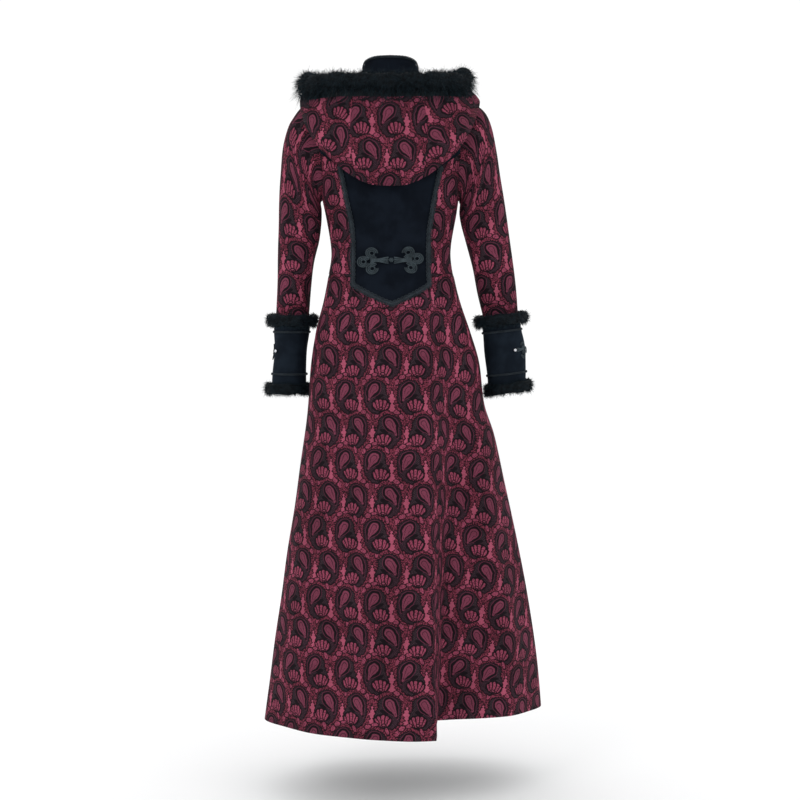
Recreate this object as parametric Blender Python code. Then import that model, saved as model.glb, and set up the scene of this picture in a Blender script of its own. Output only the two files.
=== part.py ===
# Hooded maxi coat in paisley brocade, with a velvet back panel, collar and cuffs and faux-fur trim.
# It keeps its worn, hollow form, open at the neck, the cuffs and the hem. Metres, +Z up.
# The origin is the base of the neck at the centre back, the front faces -Y and the wearer's left is +X.

import math

import bmesh
import bpy
from mathutils import Vector

# ---------------------------------------------------------------- driving dimensions

WALL = 0.002  # cloth with its backing
SEAM_GAP = 0.0003
STEP = 0.0005  # step of the numeric slopes that give a surface its normals

WAIST = -0.38  # level of the waist seam
HEM = -1.268
HEM_RISE = 0.014  # the hem is this much higher in the trough of the back fold
HEM_SIDE_SHARE = 0.65  # and still by this share of it at the right side seam
HEM_RISE_END = 235.0  # degrees round, on the right front, where the rise has gone

# The body's level sections, from the neck down. Level is the height at the centre back.
SECTION_COLUMNS = (
    "level", "centre", "half_width", "back", "front", "squareness", "side_rise", "front_drop"
)
SECTIONS = [
    (0.000, -0.001, 0.064, 0.052, 0.060, 2.0, 0.004, 0.050),
    (-0.022, -0.001, 0.111, 0.079, 0.074, 2.1, 0.003, 0.040),
    (-0.046, -0.001, 0.164, 0.090, 0.082, 2.3, 0.000, 0.034),
    (-0.072, -0.001, 0.1615, 0.097, 0.090, 2.5, 0.000, 0.026),
    (-0.103, -0.001, 0.157, 0.101, 0.104, 2.6, 0.000, 0.016),
    (-0.1405, -0.001, 0.151, 0.1035, 0.122, 2.6, 0.000, 0.006),
    (-0.174, -0.001, 0.1465, 0.103, 0.134, 2.5, 0.000, 0.000),
    (-0.206, -0.001, 0.141, 0.100, 0.136, 2.4, 0.000, 0.000),
    (-0.235, -0.001, 0.1355, 0.0965, 0.131, 2.35, 0.000, 0.000),
    (-0.262, -0.002, 0.1305, 0.0925, 0.124, 2.3, 0.000, 0.000),
    (-0.292, -0.002, 0.1245, 0.088, 0.116, 2.2, 0.000, 0.000),
    (-0.320, -0.002, 0.1200, 0.0845, 0.110, 2.2, 0.000, 0.000),
    (-0.346, -0.002, 0.1190, 0.083, 0.107, 2.2, 0.000, 0.000),
    (-0.380, -0.002, 0.1240, 0.0865, 0.110, 2.2, 0.000, 0.000),
    (-0.436, -0.004, 0.1360, 0.100, 0.118, 2.2, 0.000, 0.000),
    (-0.496, -0.006, 0.1540, 0.115, 0.128, 2.15, 0.000, 0.000),
    (-0.556, -0.011, 0.1670, 0.126, 0.138, 2.1, 0.000, 0.000),
    (-0.640, -0.014, 0.1760, 0.136, 0.152, 2.1, 0.000, 0.000),
    (-0.700, -0.020, 0.1890, 0.143, 0.162, 2.1, 0.000, 0.000),
    (-0.796, -0.0235, 0.2055, 0.153, 0.178, 2.05, 0.000, 0.000),
    (-0.916, -0.0275, 0.2275, 0.165, 0.198, 2.0, 0.000, 0.000),
    (-1.036, -0.0305, 0.2465, 0.176, 0.218, 2.0, 0.000, 0.000),
    (-1.156, -0.0310, 0.2640, 0.186, 0.238, 2.0, 0.000, 0.000),
    (-1.268, -0.0295, 0.2755, 0.195, 0.256, 2.0, 0.000, 0.000),
]

# The deep fold of the skirt back: a ridge, a steep flank on its right, and a trough.
FOLD_TOP = -0.40
FOLD_DEPTH = 0.115  # from ridge to trough at the hem
FOLD_LIFT_SHARE = 0.35  # the ridge stands this share of the depth above the plain skirt
FLANK_TOP_WIDTH = 0.034
FLANK_HEM_WIDTH = 0.003
FLANK_SWELL = 0.016  # it is this much wider between
FLANK_TOP_TURN = 0.40  # its width at the waist, in radians round the body
RIDGE_TOP_X = -0.0765
RIDGE_HEM_X = -0.0895
SWING = 0.090  # the right side of the hem swings this far to the front

# Soft flutes of the skirt, pushed out from the plain section by their depth at the hem.
FLUTE_COLUMNS = ("angle", "half_spread", "depth")
FLUTES = [
    (12.0, 20.0, 0.008),
    (52.0, 18.0, 0.005),
    (168.0, 16.0, 0.008),
    (204.0, 15.0, 0.016),
    (236.0, 13.0, 0.020),
    (258.0, 9.0, 0.010),
    (286.0, 11.0, 0.013),
    (311.0, 14.0, 0.021),
    (340.0, 15.0, 0.015),
]

# The armhole, an ellipse seen from the side, at which the sleeve is set in.
ARMHOLE_LEVEL = -0.1405
ARMHOLE_HALF_HEIGHT = 0.0945
PRINCESS_TOP = -0.1455  # level where the velvet panel's seam runs into the armhole
ARMHOLE_HALF_DEPTH = 0.055
RING_SIDES = 16

# Edge of the velvet back panel: its half width by level, from the V's corner up to the armhole.
PANEL_COLUMNS = ("level", "half_width")
PANEL_EDGE = [
    (-0.405, 0.0732),
    (-0.380, 0.0725),
    (-0.296, 0.0735),
    (-0.235, 0.0850),
    (-0.174, 0.0975),
]
PANEL_CORNER = -0.402
PANEL_TIP = -0.440
PANEL_TIP_X = -0.001
SIDE_BACK_TIP = 0.003  # the side back stops this far short of the seam's end

# Sleeves and cuffs: each row is one ring, by its outer and inner points, half depth and centre.
LIMB_COLUMNS = ("outer_x", "outer_z", "inner_x", "inner_z", "half_depth", "centre_y")
SLEEVE_LEFT = [
    (0.1650, -0.046, 0.1345, -0.2350, 0.055, 0.000),
    (0.1765, -0.050, 0.1362, -0.2365, 0.0555, 0.000),
    (0.1890, -0.066, 0.1370, -0.2390, 0.056, -0.001),
    (0.2030, -0.090, 0.1365, -0.2430, 0.055, -0.002),
    (0.2130, -0.132, 0.1350, -0.2520, 0.053, -0.003),
    (0.2180, -0.190, 0.1350, -0.2670, 0.050, -0.005),
    (0.2205, -0.245, 0.1365, -0.2850, 0.0465, -0.008),
    (0.2225, -0.300, 0.1415, -0.3150, 0.043, -0.011),
    (0.2245, -0.350, 0.1520, -0.3550, 0.0395, -0.016),
    (0.2265, -0.410, 0.1590, -0.4100, 0.036, -0.023),
    (0.2290, -0.476, 0.1640, -0.4760, 0.0335, -0.031),
]
SLEEVE_RIGHT = [
    (0.1650, -0.046, 0.1345, -0.2350, 0.055, 0.000),
    (0.1780, -0.050, 0.1362, -0.2365, 0.0555, 0.000),
    (0.1920, -0.065, 0.1376, -0.2390, 0.056, -0.001),
    (0.2035, -0.094, 0.1390, -0.2420, 0.055, -0.002),
    (0.2125, -0.138, 0.1385, -0.2490, 0.053, -0.003),
    (0.2200, -0.190, 0.1385, -0.2620, 0.050, -0.005),
    (0.2300, -0.250, 0.1425, -0.2820, 0.0465, -0.008),
    (0.2385, -0.305, 0.1525, -0.3180, 0.043, -0.011),
    (0.2465, -0.360, 0.1650, -0.3680, 0.0395, -0.016),
    (0.2525, -0.410, 0.1750, -0.4180, 0.037, -0.023),
    (0.2575, -0.468, 0.1895, -0.4760, 0.0335, -0.031),
]
CUFF_LEFT = [
    (0.2325, -0.462, 0.1600, -0.462, 0.0370, -0.029),
    (0.2335, -0.495, 0.1625, -0.495, 0.0370, -0.033),
    (0.2325, -0.530, 0.1675, -0.530, 0.0355, -0.037),
    (0.2375, -0.575, 0.1690, -0.575, 0.0360, -0.042),
    (0.2400, -0.614, 0.1690, -0.614, 0.0370, -0.046),
]
CUFF_RIGHT = [
    (0.2600, -0.456, 0.1830, -0.465, 0.0380, -0.029),
    (0.2640, -0.489, 0.1870, -0.498, 0.0375, -0.033),
    (0.2725, -0.525, 0.1895, -0.534, 0.0375, -0.037),
    (0.2745, -0.570, 0.1960, -0.579, 0.0370, -0.042),
    (0.2745, -0.606, 0.1990, -0.618, 0.0370, -0.046),
]
ARMHOLE_BLEND = (1.0, 0.55, 0.2)  # how far the first sleeve rings keep the armhole's own curve

# Fur bands of the cuffs: place along the cuff (0 top, 1 bottom), outward reach, half height.
CUFF_FUR_COLUMNS = ("place", "outer_reach", "inner_reach", "half_height")
UPPER_FUR = (0.07, 0.016, 0.016, 0.019)
LOWER_FUR = (0.97, 0.013, 0.007, 0.018)
UPPER_BRAID_PLACE = 0.25
LOWER_BRAID_PLACE = 0.78
CUFF_BRAID_WIDTH = 0.004
CUFF_BRAID_RISE = 0.0012

# Hood: one row per meridian from the centre back to the front of the left side. The cloth
# runs from the neck over a point on the body, down to its lower fold and up to the fur.
HOOD_COLUMNS = (
    "angle", "body_angle", "body_level", "body_stand", "fold_x", "fold_y", "fold_z",
    "fur_x", "fur_y", "fur_z", "bulge", "fur_radius"
)
HOOD = [
    (90, 90, -0.110, 0.010, 0.000, 0.1190, -0.2120, 0.000, 0.1500, -0.0160, 0.020, 0.0225),
    (74, 75, -0.105, 0.010, 0.034, 0.1185, -0.2095, 0.036, 0.1475, -0.0150, 0.020, 0.0225),
    (58, 62, -0.098, 0.010, 0.068, 0.1150, -0.1960, 0.072, 0.1385, -0.0135, 0.019, 0.0230),
    (42, 50, -0.085, 0.009, 0.102, 0.1080, -0.1700, 0.106, 0.1240, -0.0110, 0.017, 0.0240),
    (28, 40, -0.072, 0.007, 0.132, 0.0960, -0.1420, 0.136, 0.1020, -0.0100, 0.014, 0.0245),
    (16, 28, -0.058, 0.005, 0.153, 0.0840, -0.1120, 0.155, 0.0740, -0.0080, 0.010, 0.0240),
    (6, 14, -0.045, 0.004, 0.169, 0.0620, -0.0760, 0.161, 0.0400, 0.0000, 0.006, 0.0235),
    (-6, 0, -0.038, 0.004, 0.176, 0.0220, -0.0400, 0.156, 0.0020, 0.0050, 0.003, 0.0225),
    (-20, -16, -0.034, 0.004, 0.165, -0.0300, -0.0400, 0.138, -0.0360, -0.0020, 0.002, 0.0215),
    (-36, -34, -0.034, 0.004, 0.130, -0.0760, -0.0600, 0.108, -0.0710, -0.0160, 0.002, 0.0200),
    (-54, -52, -0.036, 0.005, 0.086, -0.1050, -0.0840, 0.072, -0.0980, -0.0350, 0.002, 0.0190),
    (-72, -72, -0.040, 0.006, 0.038, -0.1190, -0.1060, 0.030, -0.1060, -0.0570, 0.002, 0.0180),
]
HOOD_STRIP_ROWS = 1.9  # the centre strip's seam lies this many rows from the centre back
HOOD_CENTRE_X = 0.0
HOOD_DROOP = 0.007  # the fur hangs this much lower on the left shoulder
FUR_RIGHT_SHARE = 0.895  # and is drawn in to this share of its reach on the right
FUR_LEFT_REACH = 0.161
NECK_STAND = 0.0040  # the hood starts this far outside the neck edge
HOOD_CLEAR = 0.0012  # and lies no nearer to the body than this
FUR_CLEAR = 0.0030
FUR_LUMP_LIMIT = 1.06  # the fur roll swells no further than this share of its radius

COLLAR_COLUMNS = ("angle", "height", "lean")
COLLAR = [
    (90, 0.0470, -0.0050),
    (60, 0.0450, -0.0070),
    (30, 0.0370, -0.0100),
    (0, 0.0250, -0.0110),
    (-45, 0.0260, -0.0060),
    (-80, 0.0320, -0.0020),
    (-90, 0.0330, -0.0020),
]
COLLAR_FRONT_GAP_ANGLE = 3.0
COLLAR_BASE_GAP = 0.0008
COLLAR_BRAID_WIDTH = 0.005

BRAID_WIDTH = 0.010  # gimp along the velvet panel
BRAID_RISE = 0.0022

FRONT_LAP = 0.016  # each front passes the centre line by this much
LAP_CLEAR = 0.0014

BUTTON_RADIUS = 0.010
BUTTON_HEIGHT = 0.004
BUTTON_LEVELS = (-0.072, -0.130, -0.188, -0.246, -0.304, -0.362)

# The corded frog on the back: loop centres from the knot, in the panel's plane.
FROG_LEVEL = -0.354
FROG_X = -0.003
FROG_LOOP_RADIUS = 0.0082
FROG_CORD = 0.0042
FROG_THICK = 0.0022
FROG_CLEAR = 0.0010
FROG_LEFT_LOOPS = [(0.0375, 0.0135), (0.0535, -0.0035), (0.0365, -0.0170)]
FROG_RIGHT_LOOPS = [(-0.0325, 0.0150), (-0.0495, 0.0030), (-0.0375, -0.0150)]
FROG_BAR_HALF_HEIGHT = 0.0065
KNOT_RADIUS = 0.0048
CUFF_FROG_PLACE = 0.52
CUFF_FROG_SCALE = 0.62
CUFF_FROG_START = {"left": 52.0, "right": 24.0}  # degrees from the back to the bead
BEAD_RADIUS = 0.0034

# Colours as seen, with roughness and metallic values.
FINISHES = {
    "brocade": ((0.33, 0.035, 0.075), 0.75, 0.0),
    "velvet": ((0.012, 0.014, 0.020), 0.9, 0.0),
    "fur": ((0.008, 0.014, 0.017), 0.95, 0.0),
    "gimp": ((0.035, 0.045, 0.045), 0.7, 0.0),
    "cord": ((0.055, 0.075, 0.080), 0.6, 0.0),
    "bead": ((0.62, 0.63, 0.66), 0.25, 1.0),
    "button": ((0.020, 0.021, 0.026), 0.6, 0.0),
}


# ---------------------------------------------------------------- small helpers


def clear_scene():
    for thing in list(bpy.data.objects):
        bpy.data.objects.remove(thing)


def make_materials():
    made = {}
    for name, (colour, roughness, metallic) in FINISHES.items():
        material = bpy.data.materials.new(name)
        material.use_nodes = True
        shader = material.node_tree.nodes["Principled BSDF"]
        shader.inputs["Base Color"].default_value = (*colour, 1.0)
        shader.inputs["Roughness"].default_value = roughness
        shader.inputs["Metallic"].default_value = metallic
        made[name] = material
    return made


def signed_power(value, exponent):
    return math.copysign(abs(value) ** exponent, value)


def clamp(value, low=0.0, high=1.0):
    return max(low, min(high, value))


def smooth(value):
    value = clamp(value)
    return value * value * (3.0 - 2.0 * value)


def mix(a, b, share):
    return a + (b - a) * share


def curve_through(places, values, at):
    """Value at a place on a smooth curve through the given places, which rise."""
    last = len(places) - 1
    i = 0
    while i < last - 1 and at > places[i + 1]:
        i += 1

    def slope(k):
        low = max(k - 1, 0)
        high = min(k + 1, last)
        return (values[high] - values[low]) / (places[high] - places[low])

    span = places[i + 1] - places[i]
    t = (at - places[i]) / span
    if t < 0.0:
        return values[i] + slope(i) * (at - places[i])
    if t > 1.0:
        return values[i + 1] + slope(i + 1) * (at - places[i + 1])
    t2 = t * t
    t3 = t2 * t
    return (
        (2 * t3 - 3 * t2 + 1) * values[i]
        + (t3 - 2 * t2 + t) * span * slope(i)
        + (3 * t2 - 2 * t3) * values[i + 1]
        + (t3 - t2) * span * slope(i + 1)
    )


def table_curve(rows, column, at, key=0):
    """Smooth value of a table's column, where the key column rises or falls steadily."""
    ordered = sorted(rows, key=lambda row: row[key])
    return curve_through([row[key] for row in ordered], [row[column] for row in ordered], at)


# ---------------------------------------------------------------- the body's surface


def section(level):
    return {
        name: table_curve(SECTIONS, column, level)
        for column, name in enumerate(SECTION_COLUMNS)
        if column
    }


def skirt_share(level):
    return clamp((FOLD_TOP - level) / (FOLD_TOP - HEM))


def ridge_x(level):
    share = skirt_share(level)
    return mix(RIDGE_TOP_X, RIDGE_HEM_X, share**3)


def flank_width(level):
    share = skirt_share(level)
    swell = FLANK_SWELL * math.sin(math.pi * share**0.7)
    return mix(FLANK_TOP_WIDTH, FLANK_HEM_WIDTH, share**2) + swell


def back_fold(x, level, left_x, right_x):
    """How far the deep fold moves the skirt back, out where positive."""
    share = skirt_share(level)
    if share <= 0.0:
        return 0.0
    depth = FOLD_DEPTH * share**0.75
    lift = depth * FOLD_LIFT_SHARE
    drop = depth - lift
    ridge = ridge_x(level)
    trough = ridge - flank_width(level)
    if x >= ridge:
        return lift * smooth((left_x - x) / (left_x - ridge))
    if x > trough:
        return mix(lift, -drop, smooth((ridge - x) / (ridge - trough)))
    return -drop * smooth((x - right_x) / (trough - right_x))


def flute_depth(angle, level):
    share = skirt_share(level) ** 1.2
    degrees = math.degrees(angle) % 360.0
    total = 0.0
    for centre, half_spread, depth in FLUTES:
        away = abs((degrees - centre + 180.0) % 360.0 - 180.0) / half_spread
        if away < 1.0:
            total += depth * math.cos(away * math.pi / 2) ** 2
    return total * share


def coat_point(angle, level):
    """Outer surface of the body: angle 0 is the left side, 90 degrees the centre back."""
    at = section(level)
    c = math.cos(angle)
    s = math.sin(angle)
    exponent = 2.0 / at["squareness"]
    x = at["centre"] + at["half_width"] * signed_power(c, exponent)
    y = (at["back"] if s >= 0 else at["front"]) * signed_power(s, exponent)
    z = level + at["side_rise"] * c * c - at["front_drop"] * max(0.0, -s) ** 4
    share = skirt_share(level)
    if share > 0.0:
        if s > 0.0:
            left_x = at["centre"] + at["half_width"]
            right_x = at["centre"] - at["half_width"]
            y += back_fold(x, level, left_x, right_x)
        y -= SWING * share * max(0.0, -signed_power(c, exponent)) ** 2
        out = flute_depth(angle, level)
        x += out * c
        y += out * s
    return Vector((x, y, z))


def coat_normal(angle, level):
    around = coat_point(angle + STEP, level) - coat_point(angle - STEP, level)
    down = coat_point(angle, level - STEP) - coat_point(angle, level + STEP)
    normal = down.cross(around).normalized()
    outward = Vector((math.cos(angle), math.sin(angle), 0.0))
    if normal.dot(outward) < 0 and abs(normal.z) < 0.6 or normal.z < -0.6:
        normal.negate()
    return normal


def angle_at_x(x, level):
    """Angle on the back half where the surface has this x."""
    at = section(level)
    share = clamp((x - at["centre"]) / at["half_width"], -1.0, 1.0)
    return math.acos(signed_power(share, at["squareness"] / 2.0))


def angle_at_depth(y, level):
    """Angle on the left half where the surface has this y."""
    at = section(level)
    depth = at["back"] if y >= 0 else at["front"]
    share = clamp(abs(y) / depth)
    return math.copysign(math.asin(share ** (at["squareness"] / 2.0)), y)


def hem_level(angle):
    """Level of the hem, raised from the trough of the deep fold round to the right front."""
    degrees = math.degrees(angle) % 360.0
    if degrees > 180.0 + STEP:
        left_over = smooth((HEM_RISE_END - degrees) / (HEM_RISE_END - 180.0))
        return HEM + HEM_RISE * HEM_SIDE_SHARE * left_over
    x = coat_point(angle, HEM).x
    into_trough = smooth((ridge_x(HEM) - x) / flank_width(HEM))
    past_trough = smooth((degrees - 105.0) / 75.0)
    return HEM + HEM_RISE * into_trough * mix(1.0, HEM_SIDE_SHARE, past_trough)


# ---------------------------------------------------------------- armholes and panel edges


def armhole_levels():
    """Levels of the armhole ring's points, from the underarm to the shoulder tip."""
    quarter = RING_SIDES // 4
    turns = [math.pi * 2 * k / RING_SIDES for k in range(-quarter, quarter + 1)]
    return [ARMHOLE_LEVEL + ARMHOLE_HALF_HEIGHT * math.sin(turn) for turn in turns]


def armhole_depth(level):
    """Half depth of the armhole at a level, along the straight edges of the sleeve's ring."""
    levels = armhole_levels()
    depths = []
    for other in levels:
        rise = clamp((other - ARMHOLE_LEVEL) / ARMHOLE_HALF_HEIGHT, -1.0, 1.0)
        depths.append(ARMHOLE_HALF_DEPTH * math.sqrt(1.0 - rise * rise))
    for low, high, a, b in zip(levels, levels[1:], depths, depths[1:]):
        if low <= level <= high:
            return mix(a, b, (level - low) / (high - low))
    return 0.0


def armhole_angle(level, front=False):
    depth = armhole_depth(level)
    return angle_at_depth(-depth if front else depth, level)


def armhole_point(turn, side):
    """Point of the armhole's edge, on the surface of the body."""
    level = ARMHOLE_LEVEL + ARMHOLE_HALF_HEIGHT * math.sin(turn)
    depth = ARMHOLE_HALF_DEPTH * math.cos(turn)
    angle = angle_at_depth(depth, level)
    return coat_point(angle if side > 0 else math.pi - angle, level)


def side_angle(level, front=False):
    """Outer edge of a body panel on the left half: the side seam, then the armhole."""
    if ARMHOLE_LEVEL - ARMHOLE_HALF_HEIGHT < level < ARMHOLE_LEVEL + ARMHOLE_HALF_HEIGHT:
        return armhole_angle(level, front)
    return 0.0


def panel_edge_angle(level):
    """Edge of the velvet panel on the left half, by angle."""
    if level >= PRINCESS_TOP - STEP:
        return side_angle(level)
    levels = [row[0] for row in PANEL_EDGE]
    if level <= levels[-1]:
        half = table_curve(PANEL_EDGE, 1, level)
    else:
        top = coat_point(armhole_angle(PRINCESS_TOP), PRINCESS_TOP).x
        share = (level - levels[-1]) / (PRINCESS_TOP - levels[-1])
        half = mix(PANEL_EDGE[-1][1], top - PANEL_TIP_X, share)
    return angle_at_x(PANEL_TIP_X + half, level)


# ---------------------------------------------------------------- building walls and strips


def new_object(name, bm, material):
    bmesh.ops.recalc_face_normals(bm, faces=bm.faces)
    mesh = bpy.data.meshes.new(name)
    bm.to_mesh(mesh)
    bm.free()
    mesh.shade_smooth()
    mesh.set_sharp_from_angle(angle=math.radians(50))
    mesh.materials.append(material)
    made = bpy.data.objects.new(name, mesh)
    bpy.context.scene.collection.objects.link(made)
    return made


def pull_edges(grid, top=True, bottom=True, sides=True):
    """Moves the grid's edge points in by half a seam gap, so that neighbours stay apart."""
    half = SEAM_GAP / 2

    def toward(row, column, other_row, other_column):
        point, normal = grid[row][column]
        step = grid[other_row][other_column][0] - point
        if step.length > half:
            grid[row][column] = (point + step.normalized() * half, normal)

    rows = len(grid)
    columns = len(grid[0])
    for column in range(columns):
        if top:
            toward(0, column, 1, column)
        if bottom:
            toward(rows - 1, column, rows - 2, column)
    if sides:
        for row in range(rows):
            toward(row, 0, row, 1)
            toward(row, columns - 1, row, columns - 2)


def add_wall(name, grid, material, wall=WALL, wrap=False, lift=0.0):
    """A closed wall of cloth from a grid of (point, normal) on its outer side."""
    bm = bmesh.new()
    outer = [[bm.verts.new(p + n * lift) for p, n in row] for row in grid]
    inner = [[bm.verts.new(p + n * (lift - wall)) for p, n in row] for row in grid]
    rows = len(grid)
    columns = len(grid[0])
    spans = range(columns if wrap else columns - 1)
    for r in range(rows - 1):
        for c in spans:
            d = (c + 1) % columns
            bm.faces.new((outer[r][c], outer[r][d], outer[r + 1][d], outer[r + 1][c]))
            bm.faces.new((inner[r][c], inner[r + 1][c], inner[r + 1][d], inner[r][d]))
    for c in spans:
        d = (c + 1) % columns
        bm.faces.new((outer[0][c], inner[0][c], inner[0][d], outer[0][d]))
        bm.faces.new((outer[-1][c], outer[-1][d], inner[-1][d], inner[-1][c]))
    if not wrap:
        for r in range(rows - 1):
            bm.faces.new((outer[r][0], outer[r + 1][0], inner[r + 1][0], inner[r][0]))
            bm.faces.new((outer[r][-1], inner[r][-1], inner[r + 1][-1], outer[r + 1][-1]))
    return new_object(name, bm, material)


def mirror_angle(angle, side):
    return angle if side > 0 else math.pi - angle


def body_grid(levels, first_angle, last_angle, columns, side=1):
    """Grid over the body: rows by level, columns from one edge angle to the other."""
    grid = []
    for level in levels:
        row = []
        for c in range(columns + 1):
            angle = mirror_angle(
                mix(first_angle(level), last_angle(level), c / columns), side
            )
            row.append((coat_point(angle, level), coat_normal(angle, level)))
        grid.append(row)
    return grid


def add_tube(name, rings, material, closed=False):
    """A solid roll through rings of points, capped at its ends unless it closes on itself."""
    bm = bmesh.new()
    loops = [[bm.verts.new(p) for p in ring] for ring in rings]
    count = len(rings)
    sides = len(rings[0])
    for r in range(count if closed else count - 1):
        for c in range(sides):
            a = loops[r]
            b = loops[(r + 1) % count]
            d = (c + 1) % sides
            bm.faces.new((a[c], a[d], b[d], b[c]))
    if not closed:
        bm.faces.new(loops[0])
        bm.faces.new(loops[-1])
    return new_object(name, bm, material)


# ---------------------------------------------------------------- bodice

WAIST_TO_UNDERARM = [WAIST, -0.352, -0.322, -0.290, -0.260]
SHOULDER_ROWS = [-0.032, -0.016, 0.0]


def bodice_levels():
    return sorted([*WAIST_TO_UNDERARM, *armhole_levels(), PRINCESS_TOP, *SHOULDER_ROWS])


def centre_back(_level):
    return math.pi / 2


def add_velvet_back(material):
    """Two halves of the back panel, each from the V below the waist up to the neck."""
    for side, name in ((1, "back_velvet_left"), (-1, "back_velvet_right")):
        grid = body_grid(bodice_levels(), centre_back, panel_edge_angle, 5, side)
        below = []
        for share in (1.0, 0.5):
            row = []
            for c in range(6):
                # The V runs straight from its tip to the corner.
                foot = mix(PANEL_TIP, PANEL_CORNER, c / 5)
                level = mix(WAIST, foot, share)
                angle = mirror_angle(
                    mix(math.pi / 2, panel_edge_angle(max(level, PANEL_CORNER)), c / 5), side
                )
                row.append((coat_point(angle, level), coat_normal(angle, level)))
            below.append(row)
        grid = below + grid
        pull_edges(grid)
        add_wall(name, grid, material)


def side_back_edge(level):
    """The princess seam, with its straight run to the armhole as the velvet has it."""
    below = [other for other in bodice_levels() if other < PRINCESS_TOP - STEP][-1]
    if level <= below:
        return panel_edge_angle(level)
    low = panel_edge_angle(below)
    share = (level - below) / (PRINCESS_TOP - below)
    return mix(low, panel_edge_angle(PRINCESS_TOP), share)


def add_side_backs(material):
    levels = [level for level in bodice_levels() if level < PRINCESS_TOP - STEP]
    levels.append(PRINCESS_TOP - SIDE_BACK_TIP)
    for side, name in ((1, "side_back_left"), (-1, "side_back_right")):
        grid = body_grid(levels, side_back_edge, side_angle, 5, side)
        pull_edges(grid)
        add_wall(name, grid, material)


def front_edge_angle(level, past):
    """Angle on the left half where the front's edge lies, past the centre line."""
    at = section(level)
    share = (-past - at["centre"]) / at["half_width"]
    return -math.acos(signed_power(clamp(share, -1.0, 1.0), at["squareness"] / 2.0))


def front_stand(x, side):
    """The left front lies under the right one, so it steps in near the centre line."""
    if side < 0:
        return 0.0
    return -(WALL + LAP_CLEAR) * smooth((0.052 - x) / 0.030)


def front_grid(levels, columns, side, to_hem=False):
    """Grid of a front from its side edge to past the centre line, denser at the lap."""
    grid = []
    for level in levels:
        row = []
        start = side_angle(level, front=True) if level > WAIST else 0.0
        end = front_edge_angle(level, FRONT_LAP)
        for c in range(columns + 1):
            share = 1.0 - (1.0 - c / columns) ** 1.15
            angle = mirror_angle(mix(start, end, share), side)
            at = level
            if to_hem:
                at = mix(WAIST, hem_level(angle), (level - WAIST) / (HEM - WAIST))
            normal = coat_normal(angle, at)
            point = coat_point(angle, at)
            point = point + normal * front_stand(point.x, side)
            row.append((point, normal))
        grid.append(row)
    return grid


def add_fronts(material):
    for side, name in ((1, "front_left"), (-1, "front_right")):
        grid = front_grid(bodice_levels(), 10, side)
        pull_edges(grid)
        add_wall(name, grid, material)


# ---------------------------------------------------------------- skirt

CORNER_STEP = 0.006  # the skirt's edge beside the panel's corner leans by this, in radians
CORNER_BLEND = 0.06
SKIRT_ROWS = (0.0, 0.045, 0.10, 0.16, 0.23, 0.31, 0.40, 0.50, 0.60, 0.70, 0.80, 0.90, 1.0)


def skirt_back_stations(level):
    """Angles of the skirt back's guide lines, each with the columns that follow it."""
    left_corner = panel_edge_angle(max(level, PANEL_CORNER))
    deep = smooth((PANEL_TIP - level) / CORNER_BLEND)
    ridge = mix(math.pi - left_corner, angle_at_x(ridge_x(level), level), deep)
    trough = angle_at_x(ridge_x(level) - flank_width(level), level)
    trough = mix(ridge + FLANK_TOP_TURN, trough, deep)
    beside = mix(CORNER_STEP, (trough - ridge) / 4, deep)
    return [
        (0.0, 8),
        (left_corner - mix(CORNER_STEP, 0.03, deep), 1),
        (left_corner, 5),
        (math.pi / 2, 5),
        (ridge, 1),
        (ridge + beside, 3),
        (trough, 9),
        (math.pi, 0),
    ]


def skirt_back_top(column):
    """Level of the skirt back's top edge at a column: the waist seam, then the V."""
    left_step, tip, right_step = 9, 14, 19
    if column < left_step or column > right_step:
        return WAIST
    if column <= tip:
        return mix(PANEL_CORNER, PANEL_TIP, (column - left_step) / (tip - left_step))
    return mix(PANEL_TIP, PANEL_CORNER, (column - tip) / (right_step - tip))


def skirt_back_angle(column, level):
    stations = skirt_back_stations(level)
    for (angle, count), (next_angle, _) in zip(stations, stations[1:]):
        if column <= count:
            return mix(angle, next_angle, column / count)
        column -= count
    return stations[-1][0]


def add_skirt_back(material):
    columns = sum(count for _, count in skirt_back_stations(HEM))
    grid = []
    for share in SKIRT_ROWS:
        row = []
        for column in range(columns + 1):
            top = skirt_back_top(column)
            hem = hem_level(skirt_back_angle(column, HEM))
            level = mix(top, hem, share)
            angle = skirt_back_angle(column, level)
            row.append((coat_point(angle, level), coat_normal(angle, level)))
        grid.append(row)
    pull_edges(grid, bottom=False)
    add_wall("skirt_back", grid, material)


def add_skirt_fronts(material):
    levels = [mix(WAIST, HEM, share) for share in SKIRT_ROWS]
    for side, name in ((1, "skirt_front_left"), (-1, "skirt_front_right")):
        grid = front_grid(levels, 18, side, to_hem=True)
        pull_edges(grid, bottom=False)
        add_wall(name, grid, material)


# ---------------------------------------------------------------- sleeves and cuffs


def limb_point(rows, turn, place, side, armhole=False):
    """Point of a sleeve or cuff: turn 90 degrees is the outer side, 0 the back."""
    places = list(range(len(rows)))
    outer_x, outer_z, inner_x, inner_z, half_depth, centre_y = (
        curve_through(places, [row[column] for row in rows], place) for column in range(6)
    )
    rise = math.sin(turn)
    x = (outer_x + inner_x) / 2 + (outer_x - inner_x) / 2 * rise
    z = (outer_z + inner_z) / 2 + (outer_z - inner_z) / 2 * rise
    y = centre_y + half_depth * math.cos(turn)
    point = Vector((x * side, y, z))
    if armhole and place < len(ARMHOLE_BLEND):
        keep = curve_through(
            list(range(len(ARMHOLE_BLEND) + 1)), [*ARMHOLE_BLEND, 0.0], place
        )
        edge = armhole_point(turn, side)
        drift = Vector(
            (
                ((outer_x - rows[0][0]) * (1 + rise) + (inner_x - rows[0][2]) * (1 - rise)) / 2,
                centre_y,
                ((outer_z - rows[0][1]) * (1 + rise) + (inner_z - rows[0][3]) * (1 - rise)) / 2,
            )
        )
        drift.x *= side
        point = point.lerp(edge + drift, clamp(keep))
    return point


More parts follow.
